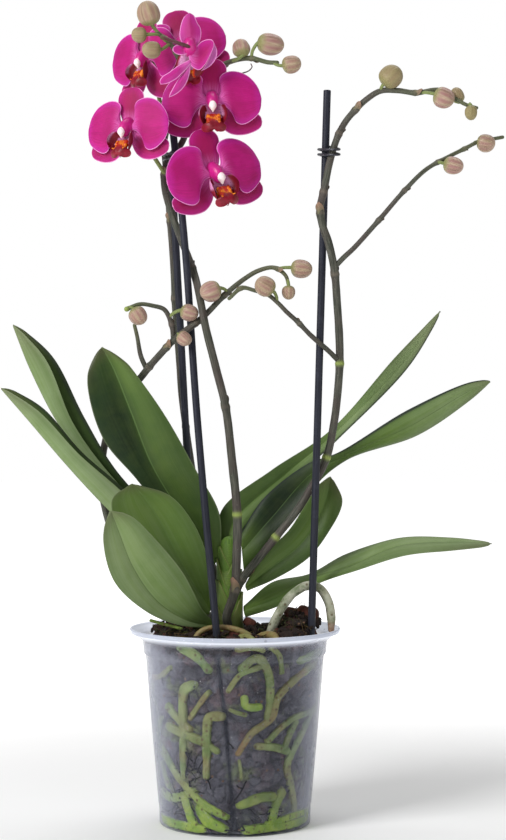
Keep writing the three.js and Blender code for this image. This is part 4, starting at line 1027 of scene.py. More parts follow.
# roots on the wall: [angle from the front, height] points, a radius, and a tone from green (0) to brown
# at the start and at the end
WALL_ROOTS = [
    ([[5.9, 93.6], [11, 98], [16.7, 98.4], [22.7, 90.4], [24.8, 78.6], [23.1, 65.3]], 2.5, (0.1, 0.3)),
    ([[80, 95.8], [55.1, 89.9], [38.4, 82.3], [30.4, 76.1], [27, 66.3], [21, 62.1], [12.1, 57.4],
      [2.8, 46.4]], 2.2, (0.2, 0.9)),
    ([[-29.4, 83.4], [-36, 80.2], [-38.1, 70.8], [-38.7, 57.7], [-40.2, 42.6], [-40.6, 31]], 2.9, (0.2, 0.5)),
    ([[-10.1, 66.9], [-17.4, 66], [-19.5, 58.8], [-20.1, 45.8], [-21.2, 33]], 2.7, (0.1, 0.3)),
    ([[-54, 58.5], [-38.3, 55.5], [-24.5, 52.6], [-12.3, 47.5]], 2.6, (0.1, 0.35)),
    ([[-66.8, 45.1], [-56, 37.3], [-45.3, 30], [-33, 22.6], [-23.8, 16.7], [-6.8, 10.8]], 2.3, (0.3, 0.2)),
    ([[80, 66], [70.7, 64.7], [60.1, 57.5], [50.8, 49.1], [45.4, 43.6], [42, 36.8], [47.9, 25], [52.8, 15.1],
      [54.7, 8]], 2.3, (0.0, 0.5)),
]
# shorter stretches that touch the wall between them; a tone under nought is a fresh root
WALL_SCRAPS = [
    ([[80, 67], [68.8, 65.6], [46.5, 64.1], [33.6, 59], [24.3, 52.6]], 1.9, (0.0, 0.6)),
    ([[16.9, 50], [29, 49], [42.1, 45.6]], 2.3, (0.3, 0.3)),
    ([[48.3, 61.5], [41, 52.8], [37.7, 46.5]], 2.0, (0.1, 0.2)),
    ([[4.5, 17.3], [20.4, 21.3], [31.9, 21]], 2.7, (0, 0)),
    ([[39.3, 23.4], [34, 17], [29.7, 7.9]], 2.8, (0, 0)),
    ([[-40.6, 20.1], [-35.8, 9.3], [-31, 4]], 3.0, (0, 0)),
    ([[-27.5, 14], [-20, 8], [-7.5, 4]], 3.0, (0, 0.2)),
    ([[-30.7, 20.9], [-18.2, 15.1], [-6, 10.8]], 2.2, (0, 0.1)),
    ([[-53.4, 69.8], [-43.9, 64.3], [-33.1, 58.8]], 2.4, (0, 0.5)),
    ([[-84, 3.6], [-60, 3.8], [-40, 3.6], [-24, 3.4]], 2.6, (0, 0.2)),
    ([[9, 3.4], [24, 4.2], [50, 4], [84, 4.4]], 2.6, (0, 0)),
    ([[25.5, 6], [41.6, 8], [60, 9], [84, 7]], 2.0, (0, 0.1)),
    ([[7, 76.8], [7.5, 73.1], [11.8, 71.7], [17.6, 71.9]], 2.3, (-1, -1)),
    ([[-2.7, 70.7], [1.7, 69.2], [7.6, 67.7]], 1.3, (0.1, 0)),
    ([[-37, 104], [-26.3, 100.2], [-17.2, 92.8]], 2.8, (0.3, 0.2)),
    ([[48.9, 95.6], [58.6, 97.1], [78.4, 98.6]], 2.3, (0, 0)),
    ([[78.4, 98.6], [67.4, 93.5], [54.5, 88.5]], 2.0, (0, 0.2)),
    ([[2.5, 104], [11.7, 105], [18.6, 103.4]], 1.8, (0.3, 0.3)),
    ([[-17.7, 79.5], [-24.7, 72.5], [-31.8, 64.9]], 1.5, (0.4, 0.8)),
    ([[-78, 19.8], [-61.3, 17.8], [-46.7, 19.5], [-31.7, 23.8]], 2.4, (0, 0)),
    ([[-47, 92], [-60, 86], [-74, 84]], 1.6, (0.5, 0.5)),
    ([[16, 94], [4, 90], [-4, 81]], 1.6, (0.3, 0.8)),
    ([[-69.7, 36.6], [-65.6, 30.5], [-59.9, 23.7]], 1.8, (0, 0.2)),
    ([[-66, 40], [-72, 52], [-64, 62]], 1.4, (0.3, 0.2)),
    ([[3.5, 42.5], [4.6, 36.9], [5.1, 32.2]], 1.0, (0.2, 0.2)),
    ([[24.9, 104], [30.2, 100], [32.7, 90.6]], 1.5, (0.2, 0.5)),
]
ROOT_BALL = np.array([-2.0, 0, 92])
SURFACE_ROOTS = [
    [[-22, -30, 100], [-21.5, -27.4, 108.4], [-16.4, -26.6, 112.6], [-7.7, -26, 113.8], [2.5, -27, 112],
     [10, -28, 108], [13, -29, 103]],
    [[-2, -4, 96], [0, -20, 106], [8, -34, 108.5], [13, -42, 104.5]],
    [[2, -4, 96], [14, -16, 107], [22, -28, 109], [24, -38, 105.5]],
]
BACK_ROOT_COUNT, BACK_ROOT_RADIUS, ROOT_SIDES, ROOT_STEP = 12, 2.5, 14, 1.6


def root(path, radius, tones, seed, pressed=True):
    """A root: a tube of wandering thickness along an evenly stepped line, a little thinner at its tip,
    pressed flat where it meets the pot's wall, and fresher toward the pot's floor. A tone under nought
    makes it fresh all along."""
    line = evenly(path, step=ROOT_STEP)
    share = np.linspace(0, 1, len(line))[:, None]
    a = around(ROOT_SIDES)
    wander = 1 + (0.1 * ripple(line, 14, seed) + 0.08 * ripple(line, 5, seed + 9))[:, None]
    wander = wander + 0.05 * ripple(line, 2.4, seed + 5)[:, None] * np.sin(2 * a)
    wander = wander + 0.04 * np.sin(3 * a + 9 * share)
    thick = radius * wander * (1 - 0.25 * smooth(share, 0.8, 1))
    tone = tones[0] + (tones[1] - tones[0]) * share + 0.3 * ripple(line, 16, seed + 1)[:, None]
    fresh = np.maximum(smooth(line[:, 2:], 34, 8), float(tones[0] < 0)) * 0.85
    part = tube(line, thick, ROOT_SIDES, tone=np.clip(tone, 0, 1), fresh=fresh * pressed)
    if pressed:
        x, y, z = np.moveaxis(part["grid"], -1, 0)
        limit = inside_radius(np.clip(z, 0, 105)) - 0.25
        part["grid"][..., :2] *= np.minimum(1, limit / np.hypot(x, y))[..., None]
    return part


def along_wall(path, radius):
    """A smooth line inside the wall through [angle, height] points, for a root of that radius."""
    unrolled = curve([[*p, 0.0] for p in path], np.linspace(0, 1, 6 * len(path)))[:, :2]
    return on_wall(unrolled, 0.3 + 0.5 * radius)


def roots():
    """Roots leave the ball under the stem, pass through the bark, and follow the wall inside the pot:
    the traced ones in front, random ones behind. Between them are shorter stretches on the wall, and a
    few lie on the filling."""
    draw = np.random.default_rng(7)
    paths = list(WALL_ROOTS)
    for k in range(BACK_ROOT_COUNT):
        angle, z = 92 + 176 * (k + 0.5) / BACK_ROOT_COUNT, 60 + 36 * draw.uniform()
        path = [[angle, z]]
        while len(path) < 6 and z > 16:
            angle, z = angle + 24 * (draw.uniform() - 0.5), z - 9 - 9 * draw.uniform()
            path.append([angle, max(6, z)])
        paths.append((path, BACK_ROOT_RADIUS, draw.uniform(0, 0.6, 2)))
    parts = []
    for k, (path, radius, tone) in enumerate(paths):
        wall = along_wall(path, radius)
        x, y, z = wall[0] + (wall[0] - wall[3]) * 0.4
        entry = [ROOT_BALL, [x * 0.5, y * 0.5, z * 0.4 + 53], [x * 0.85, y * 0.85, z]]
        parts.append(root(np.vstack([entry, wall]), radius, tone, 40 + k))
    for k, (path, radius, tone) in enumerate(WALL_SCRAPS):
        wall = along_wall(path, radius)
        start, end = wall[0] * [0.9, 0.9, 1], wall[-1] * [0.9, 0.9, 1]
        parts.append(root(np.vstack([start, wall, end]), radius, tone, 80 + k))
    for k, path in enumerate(SURFACE_ROOTS):
        parts.append(root(path, 2.2 if k else 1.5, (1, 0.75), 120 + k, pressed=False))
    dress("roots", parts, [ROOT])


roots()

AERIAL_ROOT = [
    [18, -9, 99], [20, -9.5, 108], [25, -9.5, 120], [33, -9.5, 131], [41, -9.5, 135.4],
    [48, -9.5, 134], [53, -9.5, 126.5], [54.6, -9.5, 118], [54.6, -9.5, 110.6],
]
AERIAL_RADIUS, AERIAL_SIDES = 2.55, 20


def aerial_root():
    """A root that arches through the air: pale and wrinkled, with a blunt brown tip."""
    line = evenly(AERIAL_ROOT, step=0.9)
    share = np.linspace(0, 1, len(line))[:, None]
    a = around(AERIAL_SIDES)
    radius = AERIAL_RADIUS * (1 + 0.07 * ripple(line, 11, 61)[:, None] + 0.035 * np.sin(5 * a + 6 * share)
                              - 0.3 * smooth(share, 0.9, 1.0))
    tone = 0.95 * smooth(share, 0.9, 0.99) + 0.35 * bell(share, 0.72, 0.06) + 0.1
    dress("aerial_root", [tube(line, radius, AERIAL_SIDES, tone=tone, fresh=0.0)], [AERIAL])


aerial_root()


# ------------------------------------------------------------------ flower spikes

# each spike: its line, its radius at foot, middle and tip, branches, buds and nodes. A bud is
# [centre, direction to its stalk, length, width, where the stalk leaves, how green]; a node is
# [x, z, ring, bract length, side the bract is on]
SPIKES = {
    "spike_front": {
        "line": [
            [-3.5, -6, 112], [-4.5, -11, 118], [-0.1, -17, 132.5], [1.3, -20, 156.4], [1.5, -21, 176],
            [-1.5, -22.5, 207], [-5.1, -23, 236.6], [-10.4, -23, 258], [-16.2, -23, 281], [-18.4, -20, 292],
            [-20.2, -13.5, 300.5], [-22.2, -6, 309], [-25.5, -1, 319], [-30.5, 4, 332], [-36.1, 5.5, 347],
            [-40.1, 5.5, 361], [-40.6, 5.5, 371], [-37.5, 6, 380], [-31, 7, 388], [-27, 7.5, 398],
            [-23, 7, 412], [-17, 5, 424], [-8.6, 2, 431.5], [0.6, -2, 434.6], [9.7, -5, 435],
            [18.8, -7, 432.4], [24, -8, 432]],
        "radius": [2.6, 2.15, 1.2],
        "branches": [],
        "buds": [
            [[3.6, -5, 441], [0.2, -0.5, -1], 10.6, 10, [-2, -2, 434.4]],
            [[20.4, -7, 442.8], [-1, -0.3, 0.1], 15.6, 12.2, [9, -4.6, 435]],
            [[32.2, -9, 431], [-1, 0, -0.2], 11, 10, [22, -7.8, 432]]],
        "nodes": [[-22.7, 315.9, 0.3, 7, 1], [-3.7, 236, 0.2, 8, 1], [1.9, 176.1, 1.0, 0, 1],
                  [0.2, 133, 0.5, 9, -1], [-40.5, 370, 0.5, 5, -1], [-8.6, 431.5, 0.4, 5, 1],
                  [9.7, 435, 0.5, 4.5, -1]],
    },
    "spike_back": {
        "line": [
            [-6, 6, 130], [-12, 14, 142], [-20, 25, 165], [-24.5, 27, 195], [-28, 26.5, 218],
            [-31.1, 26, 241], [-33.3, 25.5, 270], [-35.1, 24, 293], [-36, 23.5, 316], [-38, 22, 345],
            [-40, 20, 370], [-41, 16, 392], [-37, 9, 408], [-31.5, 2, 419], [-30.5, -3, 429],
            [-33.5, -6.5, 438], [-38, -9.5, 444], [-43.5, -12, 448]],
        "radius": [2.1, 1.95, 1.2],
        "branches": [],
        "buds": [
            [[-48.6, -15, 458.6], [0.3, 0.2, -1], 14, 12.8, [-39.5, -10, 445], 0.15],
            [[-54, -14, 446.8], [1, 0, 0], 8.6, 8.6, [-43, -11.8, 447.6], 0.5],
            [[-47, -13.5, 438.4], [1, 0.2, 0], 10.8, 9.6, [-37.5, -9, 443], 0.45]],
        "nodes": [[-36.4, 299.3, 0.5, 7, 1], [-38, 345, 0.3, 6, -1], [-29, 225, 0.4, 0, 1],
                  [-33.5, 438, 0.4, 5, 1], [-39, 445, 0.9, 4, -1]],
    },
    "spike_right": {
        "line": [
            [-1, -4, 128], [4.6, -6.5, 139.5], [12.6, -8, 149.7], [22.8, -9.5, 162.4], [34.6, -9.6, 177.2],
            [42.6, -9.6, 189.7], [49.4, -9.6, 202], [52.8, -10, 211], [56.3, -11, 229], [58, -12, 243.5],
            [59.2, -12.5, 261.7], [59, -13.5, 274.8], [57.6, -17, 295], [55.9, -20, 313.6],
            [52.5, -21.5, 329], [49.1, -22, 338.7], [47.9, -22, 347.8], [50.2, -22, 358.5],
            [53.5, -22, 374.4], [57.5, -21, 387.3], [61.9, -20, 396.1], [67.4, -20, 402.8],
            [73.9, -21, 408.9], [81.6, -23, 413.3], [91.3, -25, 413.2], [101.2, -27, 411.6],
            [114.2, -30, 412.7], [121.8, -32, 407.9], [128.8, -34, 403.7], [134, -35, 402]],
        "radius": [2.3, 2.2, 1],
        "branches": [
            [[58.6, -12.6, 262.8], [53, -18, 268], [47.5, -22, 272.5], [42.3, -23.5, 277], [35.7, -24, 283.8],
             [29.2, -25, 289.6], [24.3, -25.5, 294.6], [18.7, -25, 299.2], [10.9, -25, 301.7],
             [4.2, -24.6, 303.1], [-3, -24.6, 297.2]],
            [[55.8, -20, 314.7], [61.4, -20, 320.6], [66.6, -20, 325.4], [80.3, -21, 340.6],
             [94.9, -22, 357.5], [107.3, -21, 369.7], [121, -18, 377.7], [129.1, -16, 381.9],
             [138.4, -14, 386.7], [145.4, -12, 388.1], [151.4, -11, 389.3]]],
        "buds": [
            [[87.5, -25, 421.2], [-0.8, 0, -0.8], 13.2, 13, [82, -23, 413.4], 0.6],
            [[116.2, -33, 408], [-1, 0, 0.4], 12, 11.4, [104, -27.6, 411.6]],
            [[124, -29, 410], [0.4, 0, -1], 9, 7.4, [120, -31.4, 408.6], 0.4],
            [[130.8, -36.6, 399], [0, 0, 1], 8.2, 6.8, [129.6, -34.2, 403.3], 0.8],
            [[122.6, -21.6, 372], [-1, 0, 0.2], 11.4, 9.8, [113.5, -20, 374.3]],
            [[141.6, -15.6, 385.4], [-1, 0.3, 0.2], 10.4, 10, [136, -14.6, 385.4]],
            [[17, -27.4, 304], [0.9, 0.2, -0.5], 11.6, 11.2, [23.6, -25.4, 295.2]]],
        "nodes": [[4.6, 138.3, 0.3, 10, 1], [22.2, 163.6, 0.9, 0, 1], [53.4, 207.8, 0.9, 0, 1],
                  [58.9, 261.5, 1.0, 0, 1], [56.2, 311, 0.4, 6, 1], [47.9, 345.3, 0.4, 7, -1],
                  [50.1, 357, 0.4, 6, 1], [58.7, 389.8, 0.4, 6, 1], [68.2, 403, 0.3, 6, -1],
                  [81, 340.8, 0.3, 5, 1], [94.3, 357.6, 0.3, 6, 1], [114.4, 373.7, 0.4, 5, 1],
                  [129, 381.9, 0.3, 4, 1], [36, 283, 0.4, 5, 1], [101, 411.6, 0.3, 5, 1],
                  [4.2, 303, 0.3, 4, -1]],
    },
    "spike_left": {
        "line": [
            [-7, 3, 113], [-14, 8, 116.5], [-28, 15, 121], [-48, 25, 133], [-68, 32, 154], [-77, 34, 178],
            [-79, 34, 198], [-76.2, 31, 218], [-69, 24, 236], [-60.8, 16, 247], [-53.8, 9, 254.5],
            [-49.5, 4, 259.5], [-42.7, -6, 266.3], [-36.1, -14, 272.7], [-29.8, -18, 277.9],
            [-23, -17.9, 282.9], [-16, -16, 289], [-7.3, -15, 298.1], [-1, -14.6, 303.8], [6.2, -15, 309.3],
            [13, -16, 313.2], [21, -18, 315], [25.5, -19, 313.3], [29, -20, 309.6], [30, -20.4, 305.6]],
        "radius": [2.2, 2.1, 1],
        "branches": [
            [[-50.6, 5.4, 258.2], [-54, 4.4, 266], [-56, 3, 277], [-57.5, 2, 283.5]],
            [[-34.5, -13.4, 274.4], [-35.5, -15, 283], [-39.5, -16, 291.4], [-46, -17, 293.6],
             [-53.5, -18, 294.4], [-60.6, -19, 291.6]]],
        "buds": [
            [[-54, -19.4, 287.8], [-0.6, 0, 0.9], 10.6, 10, [-60, -19, 291.8]],
            [[-25.4, -19, 289.6], [-1, 0, 0.3], 10.4, 9.4, [-37, -15.6, 287]],
            [[-28.2, -20, 275], [-0.8, 0.3, 0.6], 8.8, 8, [-31, -14.6, 277]],
            [[-13.6, -19.6, 301.6], [1, 0.2, 0.4], 12, 11.6, [-4, -14, 301]],
            [[37.6, -18.4, 314.4], [-1, 0, 0.1], 12.2, 10.2, [24, -18.6, 314.4]],
            [[30.2, -23, 300.6], [0, 0, 1], 8, 7.4, [29.6, -20.2, 307.6]]],
        "nodes": [[-48.8, 259.7, 0.4, 0, 1], [-38.9, 270.4, 0.2, 8, -1], [24.3, 313.4, 0.2, 4, 1],
                  [-5.5, 299.4, 0.4, 5, 1], [-22, 283.6, 0.4, 5, 1], [-78, 190, 0.8, 0, 1],
                  [-35.5, 283, 0.3, 4, 1], [-60.6, 291.6, 1.0, 0, 1]],
    },
}
BRANCH_RADIUS, PEDICEL_RADIUS, NODE_REACH, BRACT_THICKNESS = 1.5, 1.1, 3.2, 0.45
SPIKE_STEP, BUD_ROWS, BUD_COLUMNS, BLOOM_BACK = 1.1, 32, 54, 4.4


def spike_radius(share, radius):
    """Half thickness along a spike: from foot to middle in proportion, then to the tip by a square."""
    foot, middle, tip = radius
    return np.where(share < 0.5, foot + (middle - foot) * 2 * share,
                    middle + (tip - middle) * (2 * share - 1) ** 2)


def knots(line, nodes):
    """The nodes that a line passes within NODE_REACH: how far along it each is, its row, its ring, and
    its bract's length and side."""
    found = []
    s = lengths(line)
    for x, z, ring, size, side in nodes:
        gap = np.hypot(line[:, 0] - x, line[:, 2] - z)
        row = int(gap.argmin())
        if gap[row] < NODE_REACH:
            found.append((s[row], row, ring, size, side))
    return found


def stalk(line, radius, nodes, tone, red, seed, sides=18):
    """A stem: its radius swells by up to 0.5 mm at each node, which also carries the node's ring, with
    three faint ridges round it."""
    s, a = lengths(line)[:, None], around(sides)
    swell, ring, scar = 0 * s, 0 * s, 0 * s
    for at, _, strength, _, _ in nodes:
        swell = swell + 0.3 * bell(s, at, 2.0) + 0.22 * bell(s, at + 0.4, 0.6)
        if strength > 0.7:
            ring = np.maximum(ring, bell(s, at + 0.3, 1.3))
        else:
            scar = np.maximum(scar, strength * bell(s, at + 0.5, 0.5))
    thick = radius[:, None] + swell
    thick = thick * (1 + 0.03 * np.cos(3 * a + 0.02 * s) + 0.025 * ripple(line, 14, seed)[:, None])
    return tube(line, thick, sides, ring=ring, scar=scar, tone=tone, red=red)


def bract(line, row, radius, size, side):
    """A sheath that hugs a stem above a node: at share u of its length it reaches 115 (1 - u^1.6)
    degrees to each side, and lies the stem's radius plus 0.3 + 0.9 u^2 from the line."""
    across_line, up = basis(line)[1:]
    s = lengths(line)
    u = np.linspace(0, 1, 14)
    at = np.interp(s[row] - 0.4 + u * size, s, np.arange(len(s)))
    spots = np.stack([np.interp(at, np.arange(len(s)), line[:, k]) for k in range(3)], 1)
    x, y = across_line[row], up[row]
    facing = np.sign(x[0] if abs(x[0]) > 0.3 else x[2]) * side
    turn = 0.35 * np.pi if facing > 0 else 1.35 * np.pi
    half = np.radians(115) * (1 - u ** 1.6) + 0.02
    away = (radius + 0.3 + 0.9 * u ** 2)[:, None]
    rails = [spots + away * (np.cos(angle)[:, None] * x + np.sin(angle)[:, None] * y)
             for angle in (turn - half, turn + 0 * half, turn + half)]
    return blade(*rails, BRACT_THICKNESS, columns=20, close=0.15, paint=1, tone=0.0)


def bud(centre, direction, length, width, seed, green=0.0):
    """A closed bud: at share s from stalk to tip its radius is width / 2 * (1.03 - 0.06 s) times
    sqrt(1 - |2 s^0.92 - 1|^2.3), an egg blunt at both ends, with three overlapping seams and nine soft
    ribs."""
    z = unit(np.asarray(direction, float))
    x = unit(np.cross(z, [0.2, -1.0, 0.35]))
    y = np.cross(z, x)
    s = ((1 - np.cos(np.linspace(0.14, np.pi - 0.14, BUD_ROWS))) / 2)[:, None]
    a = around(BUD_COLUMNS)
    draw = np.random.default_rng(seed)
    phase = draw.uniform(0, TURN)
    swing = (3 * a + phase) % TURN - np.pi
    body = np.sin(np.pi * s)
    seam = np.exp(-(swing / 0.2) ** 2) * body ** 0.5
    step = np.where(swing > 0, np.exp(-swing / 0.8), 0)
    rib = np.cos(9 * a + 3 * (phase + np.pi))
    r = width / 2 * np.sqrt(1 - np.abs(2 * s ** 0.92 - 1) ** 2.3) * (1.03 - 0.06 * s)
    r = r * (1 + 0.025 * rib - 0.06 * seam + 0.05 * step * body)
    bow = width * 0.06 * body
    grid = (np.asarray(centre, float) + (length * (0.5 - s))[..., None] * z
            + (r * np.cos(a))[..., None] * x + (r * np.sin(a) + bow)[..., None] * y)
    return surface(grid, 2, along=s, round=a / TURN, seam=seam * 0.8,
                   tone=draw.uniform(0, 0.3) + green, groove=(0.5 - 0.5 * rib) * body ** 0.5)


def bud_stalk(lines, centre, direction, length, spot):
    """The thin stalk from a spike to a bud, leaving the spike at its point nearest to the spot."""
    toward = unit(np.asarray(direction, float))
    neck = np.asarray(centre, float) + toward * length * 0.44
    spot = np.asarray(spot, float)
    bend = (neck + spot) / 2 + toward * 1.2
    points = np.vstack(lines)
    start = points[np.linalg.norm(points - spot, axis=1).argmin()]
    return evenly([start, bend, neck, np.asarray(centre, float)], step=0.8)


BLOOMS = {
    "bloom_centre": dict(at=[-12.8, -10, 409.6], yaw=2, pitch=2, roll=3, size=1, stalk=[-24, 7, 408]),
    "bloom_low": dict(at=[-11.7, -17, 368], yaw=26, pitch=5, roll=14, size=1.07, stalk=[-40.4, 5.5, 364],
                      via=[[-34, 5, 370], [-26, 2, 371]]),
    "bloom_left": dict(at=[-60, -14, 394], yaw=-30, pitch=4, roll=0, size=0.98, stalk=[-40.6, 4, 371]),
    "bloom_far_left": dict(at=[-52, 16.5, 439], yaw=-42, pitch=0, roll=3, size=0.95,
                           stalk=[-40.4, 19, 377], hang=(25, 13)),
    "bloom_top": dict(at=[-31.4, 28, 448.3], yaw=-6, pitch=12, roll=12, size=0.96,
                      stalk=[-40.8, 16.6, 390]),
    "bloom_turned": dict(at=[-25, -24, 437], yaw=180, pitch=0, roll=0, size=1, stalk=[-41.5, -11, 446.6],
                         via=[[-38, -20, 443.2], [-33, -27, 440]]),
}
CARRIED = {
    "spike_front": ["bloom_centre", "bloom_low", "bloom_left"],
    "spike_back": ["bloom_far_left", "bloom_top", "bloom_turned"],
    "spike_right": [], "spike_left": [],
}
WITHERED_BRACT = [[-12.5, 3.5, 428.5], [-8, 0, 423], [-2, -4, 423], [2.9, -5, 426], [8, -5.5, 427.9],
                  [9.8, -5.5, 430.2], [9.1, -5.2, 431.8]]


def placed(points, name):
    """Points in a bloom's own axes put in their place in the frame."""
    b = BLOOMS[name]
    return turned(points, b["at"], b["yaw"], b["pitch"], b["roll"], b["size"])


def bloom_stalk(name):
    """The stalk that carries a bloom, ending inside the neck behind its back."""
    at, spot = np.array(BLOOMS[name]["at"], float), np.array(BLOOMS[name]["stalk"], float)
    end = placed([0, 0, -BLOOM_BACK], name)
    bend = end + unit(end - at) * 4
    bend = bend + (spot - bend) * 0.35
    via = BLOOMS[name].get("via") or [bend]
    inside = placed([0, 0, -1.5], name)
    return evenly([spot, *via, end, inside], step=0.9)


def stem_and_bracts(line, radius, nodes, tone, seed, shrink=1.0):
    """A main stem or a branch with the bracts at its nodes."""
    parts = [stalk(line, radius, nodes, tone[:, None], 0.0, seed)]
    for _, row, _, size, side in nodes:
        if size:
            parts.append(bract(line, row, radius[row], size * shrink, side))
    return parts


def spike(name):
    """A whole spike: its main stem, branches, bracts, buds on their stalks, the blooms' stalks, and on
    the front one a withered bract that curls."""
    data = SPIKES[name]
    line = evenly(data["line"], step=SPIKE_STEP)
    share = np.linspace(0, 1, len(line))
    radius = spike_radius(share, data["radius"])
    nodes = knots(line, data["nodes"])
    parts = stem_and_bracts(line, radius, nodes, 0.2 * smooth(share, 0.8, 1), len(name))
    lines = [line]
    for k, points in enumerate(data["branches"]):
        branch = evenly(points, step=SPIKE_STEP)
        lines.append(branch)
        along = np.linspace(0, 1, len(branch))
        own = [node for node in knots(branch, data["nodes"]) if node[0] > 5]
        parts += stem_and_bracts(branch, BRANCH_RADIUS * (1 - 0.3 * along), own,
                                 0.2 * smooth(along, 0.4, 1), k + 30, 0.8)
    for k, (centre, direction, length, width, spot, *green) in enumerate(data["buds"]):
        thin = bud_stalk(lines, centre, direction, length, spot)
        thick = PEDICEL_RADIUS * (0.82 + 0.35 * np.linspace(0, 1, len(thin)) ** 2)
        parts.append(stalk(thin, thick, [], 0.75, 0.0, 60 + k, sides=12))
        parts.append(bud(centre, direction, length, width, 10 * len(name) + k, *green))
    for bloom in CARRIED[name]:
        thin = bloom_stalk(bloom)
        along = np.linspace(0, 1, len(thin))
        dark = bloom == "bloom_turned"
        red = 0.95 * smooth(along, -0.1, 0.4) if dark else 0.35 * smooth(along, 0.6, 1)
        thick = PEDICEL_RADIUS * (0.85 if dark else 1.1) * (1 + 0.25 * along ** 3)
        parts.append(stalk(thin, thick, [], 0.4 if dark else 0.85, red[:, None], 90, sides=12))
    if name == "spike_front":
        curl = evenly(WITHERED_BRACT, count=40)
        parts.append(stalk(curl, 0.62 - 0.32 * np.linspace(0, 1, 40), [], 0.0, 0.9, 95, sides=10))
    dress(name, parts, [STEM, BRACT, BUD])


for name in SPIKES:
    spike(name)


# ------------------------------------------------------------------ leaves

